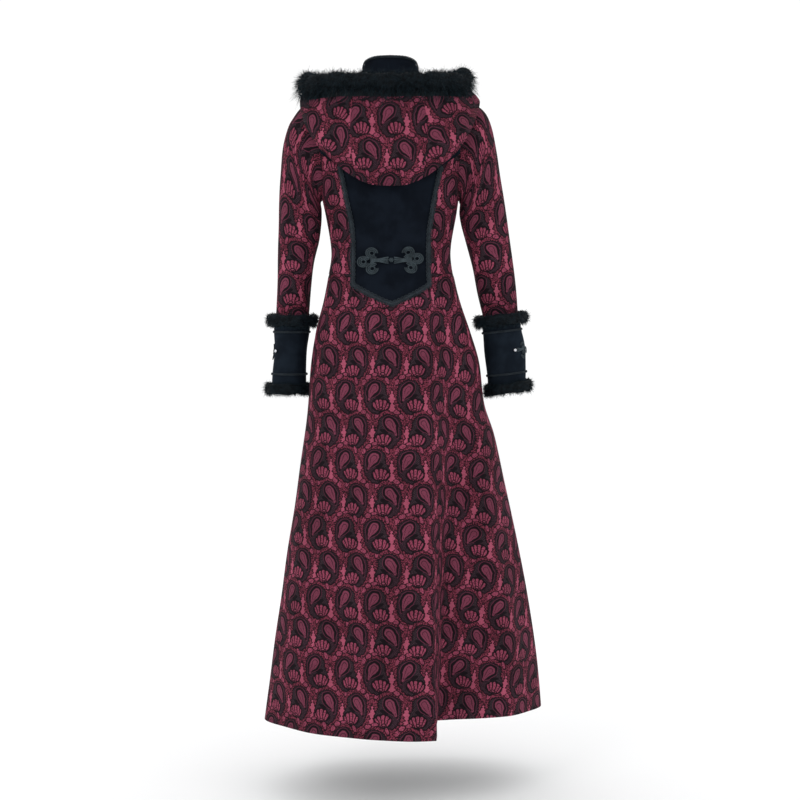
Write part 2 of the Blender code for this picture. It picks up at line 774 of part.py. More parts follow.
def limb_normal(rows, turn, place, side, armhole=False):
    def at(a, b):
        return limb_point(rows, a, b, side, armhole)

    h = 0.01
    normal = (at(turn + h, place) - at(turn - h, place)).cross(
        at(turn, place + h) - at(turn, place - h)
    )
    normal.normalize()
    centre = (at(turn, place) + at(turn + math.pi, place)) / 2
    if normal.dot(at(turn, place) - centre) < 0:
        normal.negate()
    return normal


def limb_grid(rows, places, side, armhole=False, sides=RING_SIDES):
    grid = []
    for place in places:
        row = []
        for k in range(sides):
            turn = math.pi * 2 * k / sides
            row.append(
                (
                    limb_point(rows, turn, place, side, armhole),
                    limb_normal(rows, turn, place, side, armhole),
                )
            )
        grid.append(row)
    return grid


def add_sleeves(material):
    for side, name, rows in ((1, "left", SLEEVE_LEFT), (-1, "right", SLEEVE_RIGHT)):
        places = [0, 0.5] + list(range(1, len(rows)))
        grid = limb_grid(rows, places, side, armhole=True)
        pull_edges(grid, bottom=False, sides=False)
        add_wall(f"sleeve_{name}", grid, material)


CUFF_ROW_PLACES = (0.0, 0.5, 1.0, 1.5, 2.08, 2.6, 3.12, 3.6, 4.0)


def cuff_place(rows, share):
    return share * (len(rows) - 1)


def add_cuffs(material):
    for side, name, rows in ((1, "left", CUFF_LEFT), (-1, "right", CUFF_RIGHT)):
        grid = limb_grid(rows, CUFF_ROW_PLACES, side, sides=20)
        add_wall(f"cuff_{name}", grid, material)


def lump(turn, seed):
    """Uneven swelling of a fur band along its length."""
    return 1.0 + 0.10 * math.sin(5 * turn + seed) + 0.07 * math.sin(9 * turn + 2.3 * seed)


def add_cuff_fur(name, rows, side, band, material, seed):
    place, outer_reach, inner_reach, half_height = band
    at = cuff_place(rows, place)
    along = (
        limb_point(rows, 0.0, at + 0.2, side) - limb_point(rows, 0.0, at - 0.2, side)
    ).normalized()
    rings = []
    for k in range(18):
        turn = math.pi * 2 * k / 18
        edge = limb_point(rows, turn, at, side)
        normal = limb_normal(rows, turn, at, side)
        normal = (normal - along * normal.dot(along)).normalized()
        reach = mix(inner_reach, outer_reach, (1 + math.sin(turn)) / 2) * lump(turn, seed)
        centre = edge + normal * (reach / 2 + 0.0012)
        ring = []
        for j in range(7):
            around = math.pi * 2 * j / 7
            ring.append(
                centre
                + normal * (reach / 2 * math.cos(around))
                + along * (half_height * lump(turn + 1.7, seed) * math.sin(around))
            )
        rings.append(ring)
    add_tube(name, rings, material, closed=True)


def add_cuff_braid(name, rows, side, share, material):
    """A narrow wavy braid round the cuff."""
    at = cuff_place(rows, share)
    span = (limb_point(rows, 0, at + 0.5, side) - limb_point(rows, 0, at - 0.5, side)).length
    half = CUFF_BRAID_WIDTH / 2 / span
    grid = []
    for place in (at - half, at + half):
        row = []
        for k in range(20):
            turn = math.pi * 2 * k / 20
            row.append((limb_point(rows, turn, place, side), limb_normal(rows, turn, place, side)))
        grid.append(row)
    add_wall(
        name, grid, material, wall=CUFF_BRAID_RISE, wrap=True, lift=CUFF_BRAID_RISE + SEAM_GAP
    )


def add_cuff_trims(fur, gimp):
    for side, name, rows in ((1, "left", CUFF_LEFT), (-1, "right", CUFF_RIGHT)):
        add_cuff_fur(f"cuff_fur_upper_{name}", rows, side, UPPER_FUR, fur, 1.0 + side)
        add_cuff_fur(f"cuff_fur_lower_{name}", rows, side, LOWER_FUR, fur, 4.0 + side)
        add_cuff_braid(f"cuff_braid_upper_{name}", rows, side, UPPER_BRAID_PLACE, gimp)
        add_cuff_braid(f"cuff_braid_lower_{name}", rows, side, LOWER_BRAID_PLACE, gimp)


# ---------------------------------------------------------------- hood


def hood_value(column, place):
    places = list(range(len(HOOD)))
    return curve_through(places, [row[column] for row in HOOD], place)


def surface_below(point):
    """Point and normal of the body's surface under or over a point, where there is one."""

    def outside(level):
        at = section(level)
        depth = at["back"] if point.y >= 0 else at["front"]
        across = abs((point.x - at["centre"]) / at["half_width"]) ** at["squareness"]
        return across + abs(point.y / depth) ** at["squareness"] - 1.0

    high = 0.0
    low = next((-0.01 * k for k in range(1, 24) if outside(-0.01 * k) < 0.0), None)
    if low is None:
        return None
    high = low + 0.01
    for _ in range(12):
        middle = (high + low) / 2
        if outside(middle) < 0.0:
            low = middle
        else:
            high = middle
    at = section(low)
    power = at["squareness"] / 2.0
    depth = at["back"] if point.y >= 0 else at["front"]
    angle = math.atan2(
        signed_power(point.y / depth, power),
        signed_power((point.x - at["centre"]) / at["half_width"], power),
    )
    return coat_point(angle, low), coat_normal(angle, low)


def keep_clear(point, clear):
    """Raises a point over the shoulders until it stands at least this far from them."""
    found = surface_below(point)
    if found is None or found[1].z < 0.5:
        return point
    on, normal = found
    return Vector((point.x, point.y, max(point.z, on.z + clear / normal.z)))


def fur_radius(place):
    return hood_value(11, abs(place)) * min(FUR_LUMP_LIMIT, lump(place * 0.9, 1.3))


def fur_centre(place):
    """Centre of the fur roll: places below zero lie on the right side."""
    x = hood_value(7, abs(place))
    z = hood_value(9, abs(place))
    if place < 0:
        x *= -FUR_RIGHT_SHARE
    else:
        z -= HOOD_DROOP * (x / FUR_LEFT_REACH) ** 4
    point = Vector((x + HOOD_CENTRE_X, hood_value(8, abs(place)), z))
    under = hood_value(3, abs(place)) + WALL + FUR_CLEAR
    return keep_clear(point, hood_value(11, abs(place)) * FUR_LUMP_LIMIT + under)


def hood_places(place):
    """Guide points of one meridian of the hood, from the body down to the fold and to the fur."""
    side = 1 if place >= 0 else -1
    row = abs(place)
    fold = Vector((hood_value(4, row) * side, hood_value(5, row), hood_value(6, row)))
    away = Vector((fold.x, fold.y, 0.0)).normalized()
    fold.x += HOOD_CENTRE_X
    fur = fur_centre(place)
    bulge = away * hood_value(10, row)
    toward = ((fold + fur) / 2 + bulge - fur).normalized()
    rim = fur + toward * (hood_value(11, row) * FUR_LUMP_LIMIT + WALL + FUR_CLEAR)
    belly = (fold + rim) / 2 + bulge
    return [body_side(place, 0.5), body_side(place, 1.0), fold, belly, rim]


def body_side(place, run):
    """The hood's inner layer, which lies along the shoulders and the back."""
    side = 1 if place >= 0 else -1
    row = abs(place)
    angle = mirror_angle(math.radians(mix(hood_value(0, row), hood_value(1, row), run)), side)
    level = hood_value(2, row) * run
    stand = mix(NECK_STAND, hood_value(3, row), run)
    return coat_point(angle, level) + coat_normal(angle, level) * stand


def hood_point(place, run):
    """Point of the hood's cloth: run 0 at the neck, 2 at the lower fold, 4 at the fur."""
    if run <= 1.0:
        return body_side(place, run)
    guides = hood_places(place)
    lengths = [0.0]
    for a, b in zip(guides, guides[1:]):
        lengths.append(lengths[-1] + (b - a).length ** 0.5)
    at = curve_through([0, 1, 2, 3, 4], lengths, run)
    point = Vector([curve_through(lengths, [g[i] for g in guides], at) for i in range(3)])
    return keep_clear(point, HOOD_CLEAR)


def hood_normal(place, run):
    """Normal of the cloth's outer side, which faces the body on the inner layer."""
    across = hood_point(place + 0.03, run) - hood_point(place - 0.03, run)
    along = hood_point(place, run + 0.03) - hood_point(place, max(run - 0.03, 0.0))
    return along.cross(across).normalized()


HOOD_RUNS = (0.0, 0.13, 0.28, 0.48, 0.72, 1.0, 1.45, 1.8, 2.0, 2.2, 2.6, 3.2, 4.0)


def hood_grid(places):
    return [[(hood_point(place, run), hood_normal(place, run)) for place in places] for run in HOOD_RUNS]


def add_hood(material):
    last = len(HOOD) - 1
    seam = HOOD_STRIP_ROWS
    strip = [mix(-seam, seam, k / 6) for k in range(7)]
    grid = hood_grid(strip)
    pull_edges(grid, top=False, bottom=False)
    add_wall("hood_centre", grid, material)
    for side, name in ((1, "hood_left"), (-1, "hood_right")):
        grid = hood_grid([side * mix(seam, last, k / 9) for k in range(10)])
        pull_edges(grid, top=False, bottom=False)
        add_wall(name, grid, material)


def add_hood_fur(material):
    """The fur band along the hood's opening, as one roll from front to front."""
    last = len(HOOD) - 1
    places = [mix(-last, last, k / 34) for k in range(35)]

    rings = []
    for place in places:
        tangent = (fur_centre(place + 0.1) - fur_centre(place - 0.1)).normalized()
        side_way = tangent.cross(Vector((0, 0, 1))).normalized()
        up_way = side_way.cross(tangent).normalized()
        ring = []
        for j in range(9):
            around = math.pi * 2 * j / 9
            way = side_way * math.cos(around) + up_way * math.sin(around)
            ring.append(fur_centre(place) + way * fur_radius(place))
        rings.append(ring)
    add_tube("hood_fur", rings, material)


# ---------------------------------------------------------------- collar


def collar_point(angle, share):
    """Outer side of the collar: share 0 at the neck seam, 1 at the top edge."""
    degrees = math.degrees(angle)
    if degrees > 90.0:
        degrees = 180.0 - degrees
    height = table_curve(COLLAR, 1, degrees)
    lean = table_curve(COLLAR, 2, degrees)
    base = coat_point(angle, 0.0)
    out = Vector((math.cos(angle), math.sin(angle), 0.0))
    return base + out * (lean * share) + Vector((0, 0, COLLAR_BASE_GAP + height * share))


def collar_angles(count):
    start = math.radians(-90 + COLLAR_FRONT_GAP_ANGLE)
    return [mix(start, math.pi - start, k / count) for k in range(count + 1)]


def collar_grid(shares, count):
    grid = []
    for share in shares:
        row = []
        for angle in collar_angles(count):
            row.append(
                (collar_point(angle, share), Vector((math.cos(angle), math.sin(angle), 0.0)))
            )
        grid.append(row)
    return grid


def add_collar(velvet, gimp):
    add_wall("collar", collar_grid((0.0, 0.5, 1.0), 24), velvet, wall=0.0025)
    top_share = 1.0 - COLLAR_BRAID_WIDTH / 0.045
    add_wall(
        "collar_braid",
        collar_grid((top_share, 0.985), 24),
        gimp,
        wall=CUFF_BRAID_RISE,
        lift=CUFF_BRAID_RISE + SEAM_GAP,
    )


# ---------------------------------------------------------------- braid, frogs, buttons


def add_panel_braids(material):
    """Gimp from under the hood down the panel's edge and along the V to its tip."""
    side_levels = [-0.174, -0.204, -0.235, -0.262, -0.296, -0.325, -0.352, -0.380]
    for side, name in ((1, "panel_braid_left"), (-1, "panel_braid_right")):
        inner_row = []
        outer_row = []
        half = BRAID_WIDTH / 2

        def add_pair(level, angle, across, down, inner_row=inner_row, outer_row=outer_row):
            for row, sign in ((inner_row, -1), (outer_row, 1)):
                at = mirror_angle(angle - sign * across, side)
                below = level - sign * down
                row.append((coat_point(at, below), coat_normal(at, below)))

        for level in side_levels:
            spread = half / section(level)["half_width"]
            add_pair(level, panel_edge_angle(level), spread, 0.0)
        corner = panel_edge_angle(PANEL_CORNER)
        spread = half / section(PANEL_CORNER)["half_width"]
        add_pair(PANEL_CORNER - 0.001, corner, spread, half * 0.8)
        for share in (0.25, 0.5, 0.75, 0.985):
            level = mix(PANEL_CORNER, PANEL_TIP, share)
            angle = mix(corner, math.pi / 2, share)
            add_pair(level, angle, 0.0 if share > 0.9 else spread * 0.45, half)
        add_wall(
            name,
            [inner_row, outer_row],
            material,
            wall=BRAID_RISE,
            lift=BRAID_RISE + 0.0008,
        )


def frog_bar(foot, head):
    """The cords between the loops and the knot, as one bar that can bend with the cloth."""
    rings = []
    for k in range(7):
        x = mix(foot, head, k / 6)
        ring = []
        for j in range(8):
            around = math.pi * 2 * (j + 0.5) / 8
            height = signed_power(math.cos(around), 0.6) * FROG_CORD * 0.98
            across = signed_power(math.sin(around), 0.6) * FROG_BAR_HALF_HEIGHT
            ring.append(Vector((x, height, across - 0.0005)))
        rings.append(ring)
    return add_tube("frog_bar", rings, bpy.data.materials["cord"])


def frog_shape(loops, foot, head):
    """Three corded loops and a bar in one flat piece, as a mesh with height along +Y."""
    parts = []
    for x, z in loops:
        bpy.ops.mesh.primitive_torus_add(
            major_segments=14,
            minor_segments=6,
            major_radius=FROG_LOOP_RADIUS,
            minor_radius=FROG_CORD,
            location=(x, 0.0, z),
            rotation=(math.pi / 2, 0.0, 0.0),
        )
        parts.append(bpy.context.object)
    parts.append(frog_bar(foot, head))
    base = parts[0]
    for other in parts[1:]:
        union = base.modifiers.new("union", "BOOLEAN")
        union.operation = "UNION"
        union.object = other
    bpy.context.view_layer.update()
    graph = bpy.context.evaluated_depsgraph_get()
    world = base.matrix_world.copy()
    mesh = bpy.data.meshes.new_from_object(base.evaluated_get(graph))
    mesh.transform(world)
    for part in parts:
        bpy.data.objects.remove(part)
    return mesh


def place_shape(name, mesh, material, place):
    """Bends a flat shape onto a surface: place gives point and normal for its x and z."""
    for vertex in mesh.vertices:
        x, height, z = vertex.co
        point, normal = place(x, z)
        vertex.co = point + normal * (height * FROG_THICK / FROG_CORD + FROG_THICK + FROG_CLEAR)
    bm = bmesh.new()
    bm.from_mesh(mesh)
    bmesh.ops.recalc_face_normals(bm, faces=bm.faces)
    bm.to_mesh(mesh)
    bm.free()
    mesh.materials.clear()
    mesh.materials.append(material)
    mesh.shade_smooth()
    made = bpy.data.objects.new(name, mesh)
    bpy.context.scene.collection.objects.link(made)


def back_place(x, z):
    level = FROG_LEVEL + z
    angle = angle_at_x(FROG_X + x, level)
    return coat_point(angle, level), coat_normal(angle, level)


def add_back_frog(cord):
    left = frog_shape(FROG_LEFT_LOOPS, 0.0375, KNOT_RADIUS + 0.0008)
    place_shape("back_frog_left", left, cord, back_place)
    right = frog_shape(FROG_RIGHT_LOOPS, -0.0375, -KNOT_RADIUS - 0.0008)
    place_shape("back_frog_right", right, cord, back_place)
    point, normal = back_place(0.0, 0.0)
    bpy.ops.mesh.primitive_uv_sphere_add(
        segments=10, ring_count=6, radius=KNOT_RADIUS, location=point + normal * (KNOT_RADIUS + 0.0009)
    )
    knot = bpy.context.object
    knot.name = "back_frog_knot"
    knot.data.materials.append(cord)


def add_cuff_frogs(cord, metal):
    for side, name, rows in ((1, "left", CUFF_LEFT), (-1, "right", CUFF_RIGHT)):
        at = cuff_place(rows, CUFF_FROG_PLACE)
        start = math.radians(CUFF_FROG_START[name])
        radius = (rows[2][0] - rows[2][2]) / 2
        span = (limb_point(rows, 0, at + 0.5, side) - limb_point(rows, 0, at - 0.5, side)).length

        def place(x, z, rows=rows, side=side, at=at, start=start, radius=radius, span=span):
            turn = start + x * CUFF_FROG_SCALE / radius
            along = at - z * CUFF_FROG_SCALE / span
            return limb_point(rows, turn, along, side), limb_normal(rows, turn, along, side)

        shape = frog_shape(FROG_LEFT_LOOPS, 0.0375, 0.008)
        place_shape(f"cuff_frog_{name}", shape, cord, place)
        point, normal = place(0.0005, 0.0)
        bpy.ops.mesh.primitive_uv_sphere_add(
            segments=8, ring_count=6, radius=BEAD_RADIUS, location=point + normal * (BEAD_RADIUS + SEAM_GAP)
        )
        bead = bpy.context.object
        bead.name = f"cuff_bead_{name}"
        bead.data.materials.append(metal)


def add_buttons(material):
    """Domed buttons along the centre front, on the right front's lap."""
    for number, level in enumerate(BUTTON_LEVELS, 1):
        angle = front_edge_angle(level, 0.0)
        point = coat_point(angle, level)
        normal = coat_normal(angle, level)
        bm = bmesh.new()
        rings = ((0.82, 0.0), (1.0, 0.35), (0.85, 0.8))
        loops = []
        for share, height in rings:
            loops.append(
                [
                    bm.verts.new(
                        (
                            BUTTON_RADIUS * share * math.cos(math.pi * 2 * k / 12),
                            BUTTON_RADIUS * share * math.sin(math.pi * 2 * k / 12),
                            BUTTON_HEIGHT * height,
                        )
                    )
                    for k in range(12)
                ]
            )
        for a, b in zip(loops, loops[1:]):
            for k in range(12):
                bm.faces.new((a[k], a[(k + 1) % 12], b[(k + 1) % 12], b[k]))
        bm.faces.new(loops[0])
        crown = bm.verts.new((0, 0, BUTTON_HEIGHT))
        for k in range(12):
            bm.faces.new((loops[-1][k], loops[-1][(k + 1) % 12], crown))
        button = new_object(f"front_button_{number}", bm, material)
        button.rotation_mode = "QUATERNION"
        button.rotation_quaternion = normal.to_track_quat("Z", "Y")
        button.location = point + normal * 0.0010


# ---------------------------------------------------------------- the coat


def main():
    clear_scene()
    material = make_materials()
    add_velvet_back(material["velvet"])
    add_side_backs(material["brocade"])
    add_fronts(material["brocade"])
    add_skirt_back(material["brocade"])
    add_skirt_fronts(material["brocade"])
    add_sleeves(material["brocade"])
    add_cuffs(material["velvet"])
    add_cuff_trims(material["fur"], material["gimp"])
    add_hood(material["brocade"])
    add_hood_fur(material["fur"])
    add_collar(material["velvet"], material["gimp"])
    add_panel_braids(material["gimp"])
    add_back_frog(material["cord"])
    add_cuff_frogs(material["cord"], material["bead"])
    add_buttons(material["button"])


main()
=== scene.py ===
# Hooded maxi coat: crimson cloth under black paisley lace, velvet panel, collar and cuffs, black faux fur.
# The cloth follows the same tables as the CAD model, on finer grids with creases placed one by one.

import math

import bpy
import numpy as np
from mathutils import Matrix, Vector


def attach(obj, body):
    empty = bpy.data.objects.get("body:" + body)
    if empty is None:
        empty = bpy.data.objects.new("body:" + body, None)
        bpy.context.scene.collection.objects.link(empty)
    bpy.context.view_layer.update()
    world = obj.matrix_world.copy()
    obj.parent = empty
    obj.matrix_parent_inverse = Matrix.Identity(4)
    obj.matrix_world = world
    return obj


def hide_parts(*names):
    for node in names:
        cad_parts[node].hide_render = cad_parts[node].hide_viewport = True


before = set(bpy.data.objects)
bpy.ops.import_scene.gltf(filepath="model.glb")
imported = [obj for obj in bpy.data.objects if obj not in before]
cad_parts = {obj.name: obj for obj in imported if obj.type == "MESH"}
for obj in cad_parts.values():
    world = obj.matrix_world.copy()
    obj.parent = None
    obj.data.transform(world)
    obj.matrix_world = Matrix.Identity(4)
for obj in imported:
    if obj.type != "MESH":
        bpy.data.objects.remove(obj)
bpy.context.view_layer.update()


# Camera, at the photograph's height behind the coat, floor, sky and lamps

studio = {
    "camera": (-0.02, 3.8, -0.45),
    "aim": (-0.02, 0.0, -0.631),
    "lens": 85.59,
    "floorLevel": -1.415,
    "floorSize": 60.0,
    "floorColour": (0.97, 0.975, 0.98, 1),
    "sky": 1.035,
    "lampAim": (0, 0, -0.6),
    # place, power, size
    "lamps": {
        "keyLamp": ((1.9, 3.0, 1.3), 16.0, 1.4),
        "fillLamp": ((-2.6, 2.6, 0.4), 6.0, 1.8),
        "frontLamp": ((0.6, -3.0, 1.2), 10.0, 2.0),
    },
}


def standAt(data, place, aim):
    made = bpy.data.objects.new(data.name, data)
    bpy.context.scene.collection.objects.link(made)
    made.location = place
    made.rotation_euler = (Vector(aim) - Vector(place)).to_track_quat("-Z", "Y").to_euler()
    return made


def setShader(material, values):
    material.use_nodes = True
    shader = material.node_tree.nodes["Principled BSDF"]
    for socket, value in values.items():
        shader.inputs[socket].default_value = value
    return shader


def addStudio():
    camera = bpy.data.cameras.new("camera")
    camera.lens = studio["lens"]
    camera.sensor_width = 36.0
    bpy.context.scene.camera = standAt(camera, studio["camera"], studio["aim"])
    bpy.ops.object.select_all(action="DESELECT")
    size = studio["floorSize"]
    bpy.ops.mesh.primitive_grid_add(x_subdivisions=8, y_subdivisions=8, size=size, location=(0, 0, 0))
    floor = bpy.context.object
    floor.name = "studio_floor"
    for vertex in floor.data.vertices:
        vertex.co.z = studio["floorLevel"]
    material = bpy.data.materials.new("paleFloor")
    setShader(material, {"Base Color": studio["floorColour"], "Roughness": 1.0, "Specular IOR Level": 0.0})
    floor.data.materials.append(material)
    world = bpy.data.worlds.new("studio")
    world.use_nodes = True
    world.node_tree.nodes["Background"].inputs["Color"].default_value = (1.0, 1.0, 1.0, 1)
    world.node_tree.nodes["Background"].inputs["Strength"].default_value = studio["sky"]
    bpy.context.scene.world = world
    for name, (place, power, size) in studio["lamps"].items():
        lamp = bpy.data.lights.new(name, "AREA")
        lamp.energy = power
        lamp.size = size
        standAt(lamp, place, studio["lampAim"])
    bpy.context.scene.view_settings.view_transform = "Standard"


addStudio()
print("camera and studio are set")


# Small helpers, most of them for whole arrays


def clamp(value, low=0.0, high=1.0):
    return np.clip(value, low, high)


def smooth(value):
    value = clamp(value)
    return value * value * (3.0 - 2.0 * value)


def mix(a, b, share):
    return a + (b - a) * share


def signedPower(value, exponent):
    return np.sign(value) * np.abs(value) ** exponent


def inMetres(rows):
    return [tuple(value / 1000 for value in row) for row in rows]


def curveThrough(places, values, at):
    places = np.asarray(places, float)
    values = np.asarray(values, float)
    at = np.asarray(at, float)
    last = len(places) - 1
    order = np.arange(last + 1)
    low = np.maximum(order - 1, 0)
    high = np.minimum(order + 1, last)
    slope = (values[high] - values[low]) / (places[high] - places[low])
    i = np.clip(np.searchsorted(places, at, side="left") - 1, 0, last - 1)
    span = places[i + 1] - places[i]
    whole = (at - places[i]) / span
    t = clamp(whole)
    t2 = t * t
    t3 = t2 * t
    return (
        (2 * t3 - 3 * t2 + 1) * values[i] + (t3 - 2 * t2 + t) * span * slope[i]
        + (3 * t2 - 2 * t3) * values[i + 1] + (t3 - t2) * span * slope[i + 1]
        + np.minimum(whole, 0.0) * span * slope[i] + np.maximum(whole - 1.0, 0.0) * span * slope[i + 1]
    )


def tableCurve(rows, column, at):
    ordered = sorted(rows, key=lambda row: row[0])
    return curveThrough([row[0] for row in ordered], [row[column] for row in ordered], at)


def unit(vectors):
    return vectors / (np.linalg.norm(vectors, axis=-1, keepdims=True) + 1e-12)


def stack(x, y, z):
    x, y, z = np.broadcast_arrays(x, y, z)
    return np.stack([x, y, z], axis=-1).astype(float)


def lengthsAlong(points):
    return np.concatenate([[0], np.cumsum(np.linalg.norm(np.diff(points, axis=0), axis=-1))])


# The body's surface

sides = {"left": 1, "right": -1}
body = {
    "wall": 0.0020,
    "waist": -0.38,
    "hem": -1.268,
    "hemRise": 0.014,
    "hemSideShare": 0.65,
    "hemRiseEnd": 235.0,
    "troughAngle": 105.0,
    "troughReach": 75.0,
    # in millimetres: level, centre, half width, back, front, side rise, front drop; and squareness
    "sections": [
        (0, -1, 64, 52, 60, 4, 50, 2.0), (-22, -1, 111, 79, 74, 3, 40, 2.1),
        (-46, -1, 164, 90, 82, 0, 34, 2.3), (-72, -1, 161.5, 97, 90, 0, 26, 2.5),
        (-103, -1, 157, 101, 104, 0, 16, 2.6), (-140.5, -1, 151, 103.5, 122, 0, 6, 2.6),
        (-174, -1, 146.5, 103, 134, 0, 0, 2.5), (-206, -1, 141, 100, 136, 0, 0, 2.4),
        (-235, -1, 135.5, 96.5, 131, 0, 0, 2.35), (-262, -2, 130.5, 92.5, 124, 0, 0, 2.3),
        (-292, -2, 124.5, 88, 116, 0, 0, 2.2), (-320, -2, 120, 84.5, 110, 0, 0, 2.2),
        (-346, -2, 119, 83, 107, 0, 0, 2.2), (-380, -2, 124, 86.5, 110, 0, 0, 2.2),
        (-436, -4, 136, 100, 118, 0, 0, 2.2), (-496, -6, 154, 115, 128, 0, 0, 2.15),
        (-556, -11, 167, 126, 138, 0, 0, 2.1), (-640, -14, 176, 136, 152, 0, 0, 2.1),
        (-700, -20, 189, 143, 162, 0, 0, 2.1), (-796, -23.5, 205.5, 153, 178, 0, 0, 2.05),
        (-916, -27.5, 227.5, 165, 198, 0, 0, 2.0), (-1036, -30.5, 246.5, 176, 218, 0, 0, 2.0),
        (-1156, -31, 264, 186, 238, 0, 0, 2.0), (-1268, -29.5, 275.5, 195, 256, 0, 0, 2.0),
    ],
}
bodyRows = [tuple(value / 1000 for value in row[:7]) + row[7:] for row in body["sections"]]

fold = {
    "top": -0.40,
    "depth": 0.115,
    "liftShare": 0.35,
    "flankTopWidth": 0.034,
    "flankHemWidth": 0.003,
    "flankSwell": 0.016,
    "flankTopTurn": 0.40,
    "ridgeTopX": -0.0765,
    "ridgeHemX": -0.0895,
    "swing": 0.090,
    # angle, half spread, depth at the hem
    "flutes": [
        (12.0, 20.0, 0.008), (52.0, 18.0, 0.005), (168.0, 16.0, 0.008), (204.0, 15.0, 0.016),
        (236.0, 13.0, 0.020), (258.0, 9.0, 0.010), (286.0, 11.0, 0.013), (311.0, 14.0, 0.021),
        (340.0, 15.0, 0.015),
    ],
}

panel = {
    "princessTop": -0.1455,
    # level, half width
    "edge": [(-0.405, 0.0732), (-0.380, 0.0725), (-0.296, 0.0735), (-0.235, 0.0850), (-0.174, 0.0975)],
    "corner": -0.402,
    "tip": -0.440,
    "tipX": -0.001,
}

armhole = {"level": -0.1405, "halfHeight": 0.0945, "halfDepth": 0.055}
tinyStep = 0.0005


def section(level):
    names = ("centre", "halfWidth", "back", "front", "sideRise", "frontDrop", "squareness")
    return {name: tableCurve(bodyRows, column, level) for column, name in enumerate(names, 1)}


def skirtShare(level):
    return clamp((fold["top"] - level) / (fold["top"] - body["hem"]))


def ridgeX(level):
    return mix(fold["ridgeTopX"], fold["ridgeHemX"], skirtShare(level) ** 3)


def flankWidth(level):
    share = skirtShare(level)
    swell = fold["flankSwell"] * np.sin(math.pi * share**0.7)
    return mix(fold["flankTopWidth"], fold["flankHemWidth"], share**2) + swell


def backFold(x, level, leftX, rightX):
    share = skirtShare(level)
    depth = fold["depth"] * share**0.75
    lift = depth * fold["liftShare"]
    drop = depth - lift
    ridge = ridgeX(level)
    trough = ridge - flankWidth(level)
    before = lift * smooth((leftX - x) / (leftX - ridge))
    across = mix(lift, -drop, smooth((ridge - x) / (ridge - trough)))
    after = -drop * smooth((x - rightX) / (trough - rightX))
    return np.where(share <= 0.0, 0.0, np.where(x >= ridge, before, np.where(x > trough, across, after)))


def fluteDepth(angle, level):
    degrees = np.degrees(angle) % 360.0
    total = 0.0
    for centre, halfSpread, depth in fold["flutes"]:
        away = clamp(np.abs((degrees - centre + 180.0) % 360.0 - 180.0) / halfSpread)
        total = total + depth * np.cos(away * math.pi / 2) ** 2
    return total * skirtShare(level) ** 1.2


def coatPoint(angle, level):
    angle, level = np.broadcast_arrays(np.asarray(angle, float), np.asarray(level, float))
    at = section(level)
    c = np.cos(angle)
    s = np.sin(angle)
    exponent = 2.0 / at["squareness"]
    x = at["centre"] + at["halfWidth"] * signedPower(c, exponent)
    y = np.where(s >= 0, at["back"], at["front"]) * signedPower(s, exponent)
    z = level + at["sideRise"] * c * c - at["frontDrop"] * np.maximum(0.0, -s) ** 4
    leftX = at["centre"] + at["halfWidth"]
    rightX = at["centre"] - at["halfWidth"]
    y = y + np.where(s > 0.0, backFold(x, level, leftX, rightX), 0.0)
    y = y - fold["swing"] * skirtShare(level) * np.maximum(0.0, -signedPower(c, exponent)) ** 2
    out = fluteDepth(angle, level)
    return stack(x + out * c, y + out * s, z)


def coatNormal(angle, level):
    around = coatPoint(angle + tinyStep, level) - coatPoint(angle - tinyStep, level)
    down = coatPoint(angle, level - tinyStep) - coatPoint(angle, level + tinyStep)
    normal = unit(np.cross(down, around))
    facing = normal[..., 0] * np.cos(angle) + normal[..., 1] * np.sin(angle)
    turned = (facing < 0) & (np.abs(normal[..., 2]) < 0.6) | (normal[..., 2] < -0.6)
    return np.where(turned[..., None], -normal, normal)


def angleAtX(x, level):
    at = section(level)
    share = clamp((x - at["centre"]) / at["halfWidth"], -1.0, 1.0)
    return np.arccos(signedPower(share, at["squareness"] / 2.0))


def angleAtDepth(y, level):
    at = section(level)
    share = clamp(np.abs(y) / np.where(y >= 0, at["back"], at["front"]))
    return np.copysign(np.arcsin(share ** (at["squareness"] / 2.0)), y)


def hemLevel(angle):
    degrees = np.degrees(angle) % 360.0
    leftOver = smooth((body["hemRiseEnd"] - degrees) / (body["hemRiseEnd"] - 180.0))
    front = body["hemRise"] * body["hemSideShare"] * leftOver
    x = coatPoint(angle, body["hem"])[..., 0]
    intoTrough = smooth((ridgeX(body["hem"]) - x) / flankWidth(body["hem"]))
    pastTrough = smooth((degrees - body["troughAngle"]) / body["troughReach"])
    back = body["hemRise"] * intoTrough * mix(1.0, body["hemSideShare"], pastTrough)
    return body["hem"] + np.where(degrees > 180.0 + tinyStep, front, back)


def mirrorAngle(angle, side):
    return angle if side > 0 else math.pi - angle


def armholePoint(turn, side):
    level = armhole["level"] + armhole["halfHeight"] * np.sin(turn)
    return coatPoint(mirrorAngle(angleAtDepth(armhole["halfDepth"] * np.cos(turn), level), side), level)


def sideAngle(level, front=False):
    rise = clamp((level - armhole["level"]) / armhole["halfHeight"], -1.0, 1.0)
    depth = armhole["halfDepth"] * np.sqrt(1.0 - rise * rise)
    inside = np.abs(level - armhole["level"]) < armhole["halfHeight"]
    return np.where(inside, angleAtDepth(-depth if front else depth, level), 0.0)


def panelEdgeAngle(level):
    levels = [row[0] for row in panel["edge"]]
    top = coatPoint(sideAngle(panel["princessTop"]), panel["princessTop"])[..., 0]
    share = (level - levels[-1]) / (panel["princessTop"] - levels[-1])
    above = mix(panel["edge"][-1][1], top - panel["tipX"], share)
    half = np.where(level <= levels[-1], tableCurve(panel["edge"], 1, level), above)
    angle = angleAtX(panel["tipX"] + half, level)
    return np.where(level >= panel["princessTop"] - tinyStep, sideAngle(level), angle)
